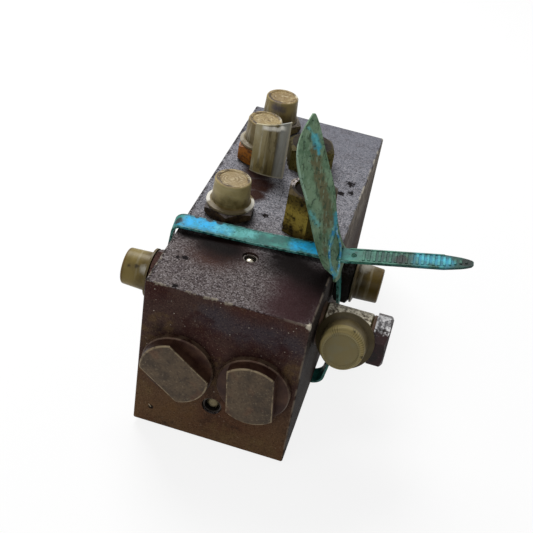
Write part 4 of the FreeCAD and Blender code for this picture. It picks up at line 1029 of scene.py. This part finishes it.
# %% Slot rim
RIM_POINTS = [
    (0.0355, -0.0375, 0.1082),
    (0.0366, -0.0372, 0.1046),
    (0.0384, -0.0363, 0.1005),
    (0.0402, -0.0372, 0.096),
    (0.0416, -0.043, 0.0922),
    (0.0423, -0.0485, 0.0911),
    (0.0418, -0.0532, 0.0902),
    (0.0399, -0.0525, 0.0924),
    (0.0383, -0.0498, 0.0938),
    (0.0359, -0.0448, 0.0974),
    (0.0353, -0.042, 0.0999),
    (0.0353, -0.04, 0.1025),
]
RIM_RADIUS = 0.0006

bpy.ops.curve.primitive_bezier_circle_add(radius=0.01)
rim_curve = bpy.context.object
rim_curve.data.splines.clear()
rim_line = rim_curve.data.splines.new("BEZIER")
rim_line.bezier_points.add(len(RIM_POINTS) - 1)
for knot, place in zip(rim_line.bezier_points, RIM_POINTS):
    knot.co = place
    knot.handle_left_type = knot.handle_right_type = "AUTO"
rim_line.use_cyclic_u = True
rim_curve.data.bevel_depth = RIM_RADIUS
rim_curve.data.bevel_resolution = 3
rim_curve.data.resolution_u = 8
bpy.ops.object.convert(target="MESH")
slot_rim = bpy.context.object
slot_rim.name = slot_rim.data.name = "slot_rim"
bpy.ops.object.shade_smooth_by_angle(angle=math.radians(50))
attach(slot_rim, "valve")
dress(rib_plastic, "tail_ribs", "gate_mark")
print("slot rim", len(slot_rim.data.polygons), "faces")

# %% [markdown]
# The rim is the brightest part of the tie: sky blue and teal in cloudy patches, darker teal in places, and
# pale flecks that are a painted highlight.

# %% Rim finish
def rim_plastic_with_highlights():
    plastic = Finish("tie rim plastic with painted highlights", shine=0.4)
    clouds = plastic.cloud(0.004, detail=4)
    skin = plastic.mix((34, 124, 170), (92, 150, 140), clouds.step(0.44, 0.56))
    # Painted highlight: pale flecks over the rim.
    skin.cover((150, 196, 200), plastic.cloud(0.0018).step(0.56, 0.66) * 0.8)
    skin.cover((30, 62, 54), clouds.step(0.4, 0.3) * 0.8)
    plastic.surface(skin, 0.4)
    return plastic


dress(rim_plastic_with_highlights(), "slot_rim")

# %% [markdown]
# Most of the remaining pieces are hidden inside the valve or behind it. They still get the
# finish of the real thing, because a library part is taken apart and turned round.

# %% Plain pieces
def plain(name, tint, metallic, roughness, contrast=0.25, shine=0.45):
    finish = Finish(name, shine)
    mottle = finish.cloud(0.004, detail=5)
    darker = [channel * (1 - contrast) for channel in tint]
    skin = finish.mix(darker, tint, mottle.step(0.3, 0.7))
    finish.surface(skin, roughness + mottle * 0.08, metallic)
    return finish


def both(name):
    return [name + "_left", name + "_right"]


dress(plain("ball plug sleeve", (66, 60, 56), 0.8, 0.4), "plug_sleeve_front", "plug_sleeve_top")
dress(plain("ball steel", (190, 184, 168), 1.0, 0.22), "plug_ball_top")
dress(plain("oily ball steel", (104, 94, 70), 0.8, 0.4), "plug_ball_front")
dress(plain("ground spool steel", (150, 150, 152), 1.0, 0.25), *both("spool"))
dress(plain("plunger chrome", (186, 188, 190), 1.0, 0.18, contrast=0.08), *both("plunger"))
dress(plain("guide bush steel", (120, 108, 78), 0.6, 0.4), *both("guide_bush"))
dress(plain("rod seal", (96, 120, 70), 0.0, 0.5), *both("rod_seal"))
dress(plain("wiper rubber", (36, 36, 38), 0.0, 0.6), *both("wiper"), *both("front_plug_seal"))
SEALS = ["seal_" + name for name in ("top_front", "top_middle", "top_rear", "left_side", "right_side")]
dress(plain("bonded seal", (110, 104, 96), 0.7, 0.4), *SEALS, "seal_pressure_switch", "seal_hex_plug")
dress(plain("copper washer", (84, 62, 46), 0.6, 0.5), "banjo_washer_inner", "banjo_washer_outer")
dress(plain("switch insulator", (22, 17, 15), 0.0, 0.8, shine=0.05), "switch_insulator")
dress(plain("terminal brass", (150, 140, 110), 0.9, 0.35), *both("switch_terminal"))
spring_finish = plain("spring steel", (110, 110, 112), 0.9, 0.35)
dress(spring_finish, *both("return_spring"), *both("metering_spring"))

# %% [markdown]
# The four springs shorten when a plunger is pressed, which a rigid CAD node can't do. Each is
# modelled again as a disc swept by a Screw modifier. A metering spring rides on its spool.

# %% Springs
def coil(name, centre, start, length, wire, turns):
    """A coil along +Y whose wire has round closed ends."""
    bpy.ops.mesh.primitive_circle_add(vertices=10, radius=wire, location=(SPRING_MEAN_RADIUS, 0, 0),
                                      rotation=(math.pi / 2, 0, 0))
    spring = bpy.context.object
    spring.name = spring.data.name = name
    bpy.ops.object.transform_apply()
    rise = (length - 2 * wire) / turns
    apply_modifier(spring, "SCREW", axis="Z", angle=2 * math.pi, screw_offset=rise, iterations=turns,
                   steps=28, render_steps=28, use_merge_vertices=False)
    bpy.ops.object.mode_set(mode="EDIT")
    bpy.ops.mesh.select_all(action="DESELECT")
    bpy.ops.mesh.select_non_manifold()
    bpy.ops.mesh.fill_holes(sides=0)
    bpy.ops.mesh.select_all(action="SELECT")
    bpy.ops.mesh.normals_make_consistent(inside=False)
    bpy.ops.object.mode_set(mode="OBJECT")
    bpy.ops.object.shade_smooth_by_angle(angle=math.radians(60))
    along_y = Matrix.Rotation(-math.pi / 2, 4, "X")
    return set_in(spring, Matrix.Translation((centre.x, start + wire, centre.z)) @ along_y)


SPRING_MEAN_RADIUS = 0.0073
SPRINGS = {"return_spring": (0.0012, 5, 0.005), "metering_spring": (0.0015, 4, 0.007)}
for side in ("left", "right"):
    for kind, (wire, turns, squeeze) in SPRINGS.items():
        low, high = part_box(kind + "_" + side)
        length = high.y - low.y
        spring = coil(kind + "_coil_" + side, (low + high) / 2, low.y, length, wire, turns)
        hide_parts(kind + "_" + side)
        dress(spring_finish, spring.name)
        rider, joint = "valve", "spool_shift_" + side
        if kind == "metering_spring":
            rider, joint = "spool_" + side, "plunger_push_" + side
        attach(spring, rider)
        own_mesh(spring)
        print(spring.name, round(length * 1000, 1), "mm long")

# %% [markdown]
# The floor is a plain pale sheet under the lowest point of the object. The lamps are large
# and soft: one above and behind, as by a window, and a weaker one in front. The background
# is white because the floor and the world look white to the camera, to reflections and
# through clear plastic, and not because more light falls on the object.

# %% Floor
FLOOR_SIZE = 8.0
FLOOR_HEIGHT = CAD_BOX[0][2]
bpy.ops.mesh.primitive_plane_add(size=FLOOR_SIZE, location=(0, 0, FLOOR_HEIGHT))
floor = bpy.context.object
floor.name = "floor"


def seen_directly(finish):
    """1 for rays that come from the camera, a mirror or clear plastic."""
    return finish.either(*[finish.node("LightPath", out="Is " + kind + " Ray")
                           for kind in ("Camera", "Glossy", "Transmission")])


FLOOR_WHITE = 0.85
paint = Finish("pale floor", Base_Color=(0.82, 0.82, 0.82, 1), Roughness=0.9)
glow = paint.node("Emission", {"Color": (1, 1, 1, 1)})
lit = Reading(paint, paint.shader.outputs[0])
blend = paint.node("MixShader", {0: seen_directly(paint) * FLOOR_WHITE, 1: lit, 2: glow})
paint.feed(paint.tree.nodes["Material Output"].inputs["Surface"], blend)
dress(paint, "floor")

# %% World
class Sky(Finish):
    """The world's own nodes, around its Background shader."""

    def __init__(self, name):
        self.world = bpy.data.worlds.new(name)
        self.world.use_nodes = True
        self.tree = self.world.node_tree
        self.shader = self.tree.nodes["Background"]


WORLD_LIGHT = 0.32
sky = Sky("studio")
strength = {"A": WORLD_LIGHT, "B": 1.0, "Factor": seen_directly(sky)}
sky.wire("Strength", sky.node("Mix", strength, out="Result"))
sky.wire("Color", (1, 1, 1, 1))
bpy.context.scene.world = sky.world
print("the world gives light of strength", WORLD_LIGHT)

# %% Lamps
LAMP_TARGET = Vector((0, 0, 0.05))


def lamp(name, place, size, power):
    light = bpy.data.lights.new(name, "AREA")
    light.size = size
    light.energy = power
    holder = bpy.data.objects.new(name, light)
    aim = (LAMP_TARGET - Vector(place)).to_track_quat("-Z", "Y").to_matrix().to_4x4()
    holder.matrix_world = Matrix.Translation(Vector(place)) @ aim
    bpy.context.scene.collection.objects.link(holder)
    print(name, power, "W")


lamp("window", (-0.35, 0.45, 0.85), 0.45, 11)
lamp("room", (-0.3, -0.9, 0.7), 0.9, 3)
bpy.context.scene.view_settings.view_transform = "Standard"
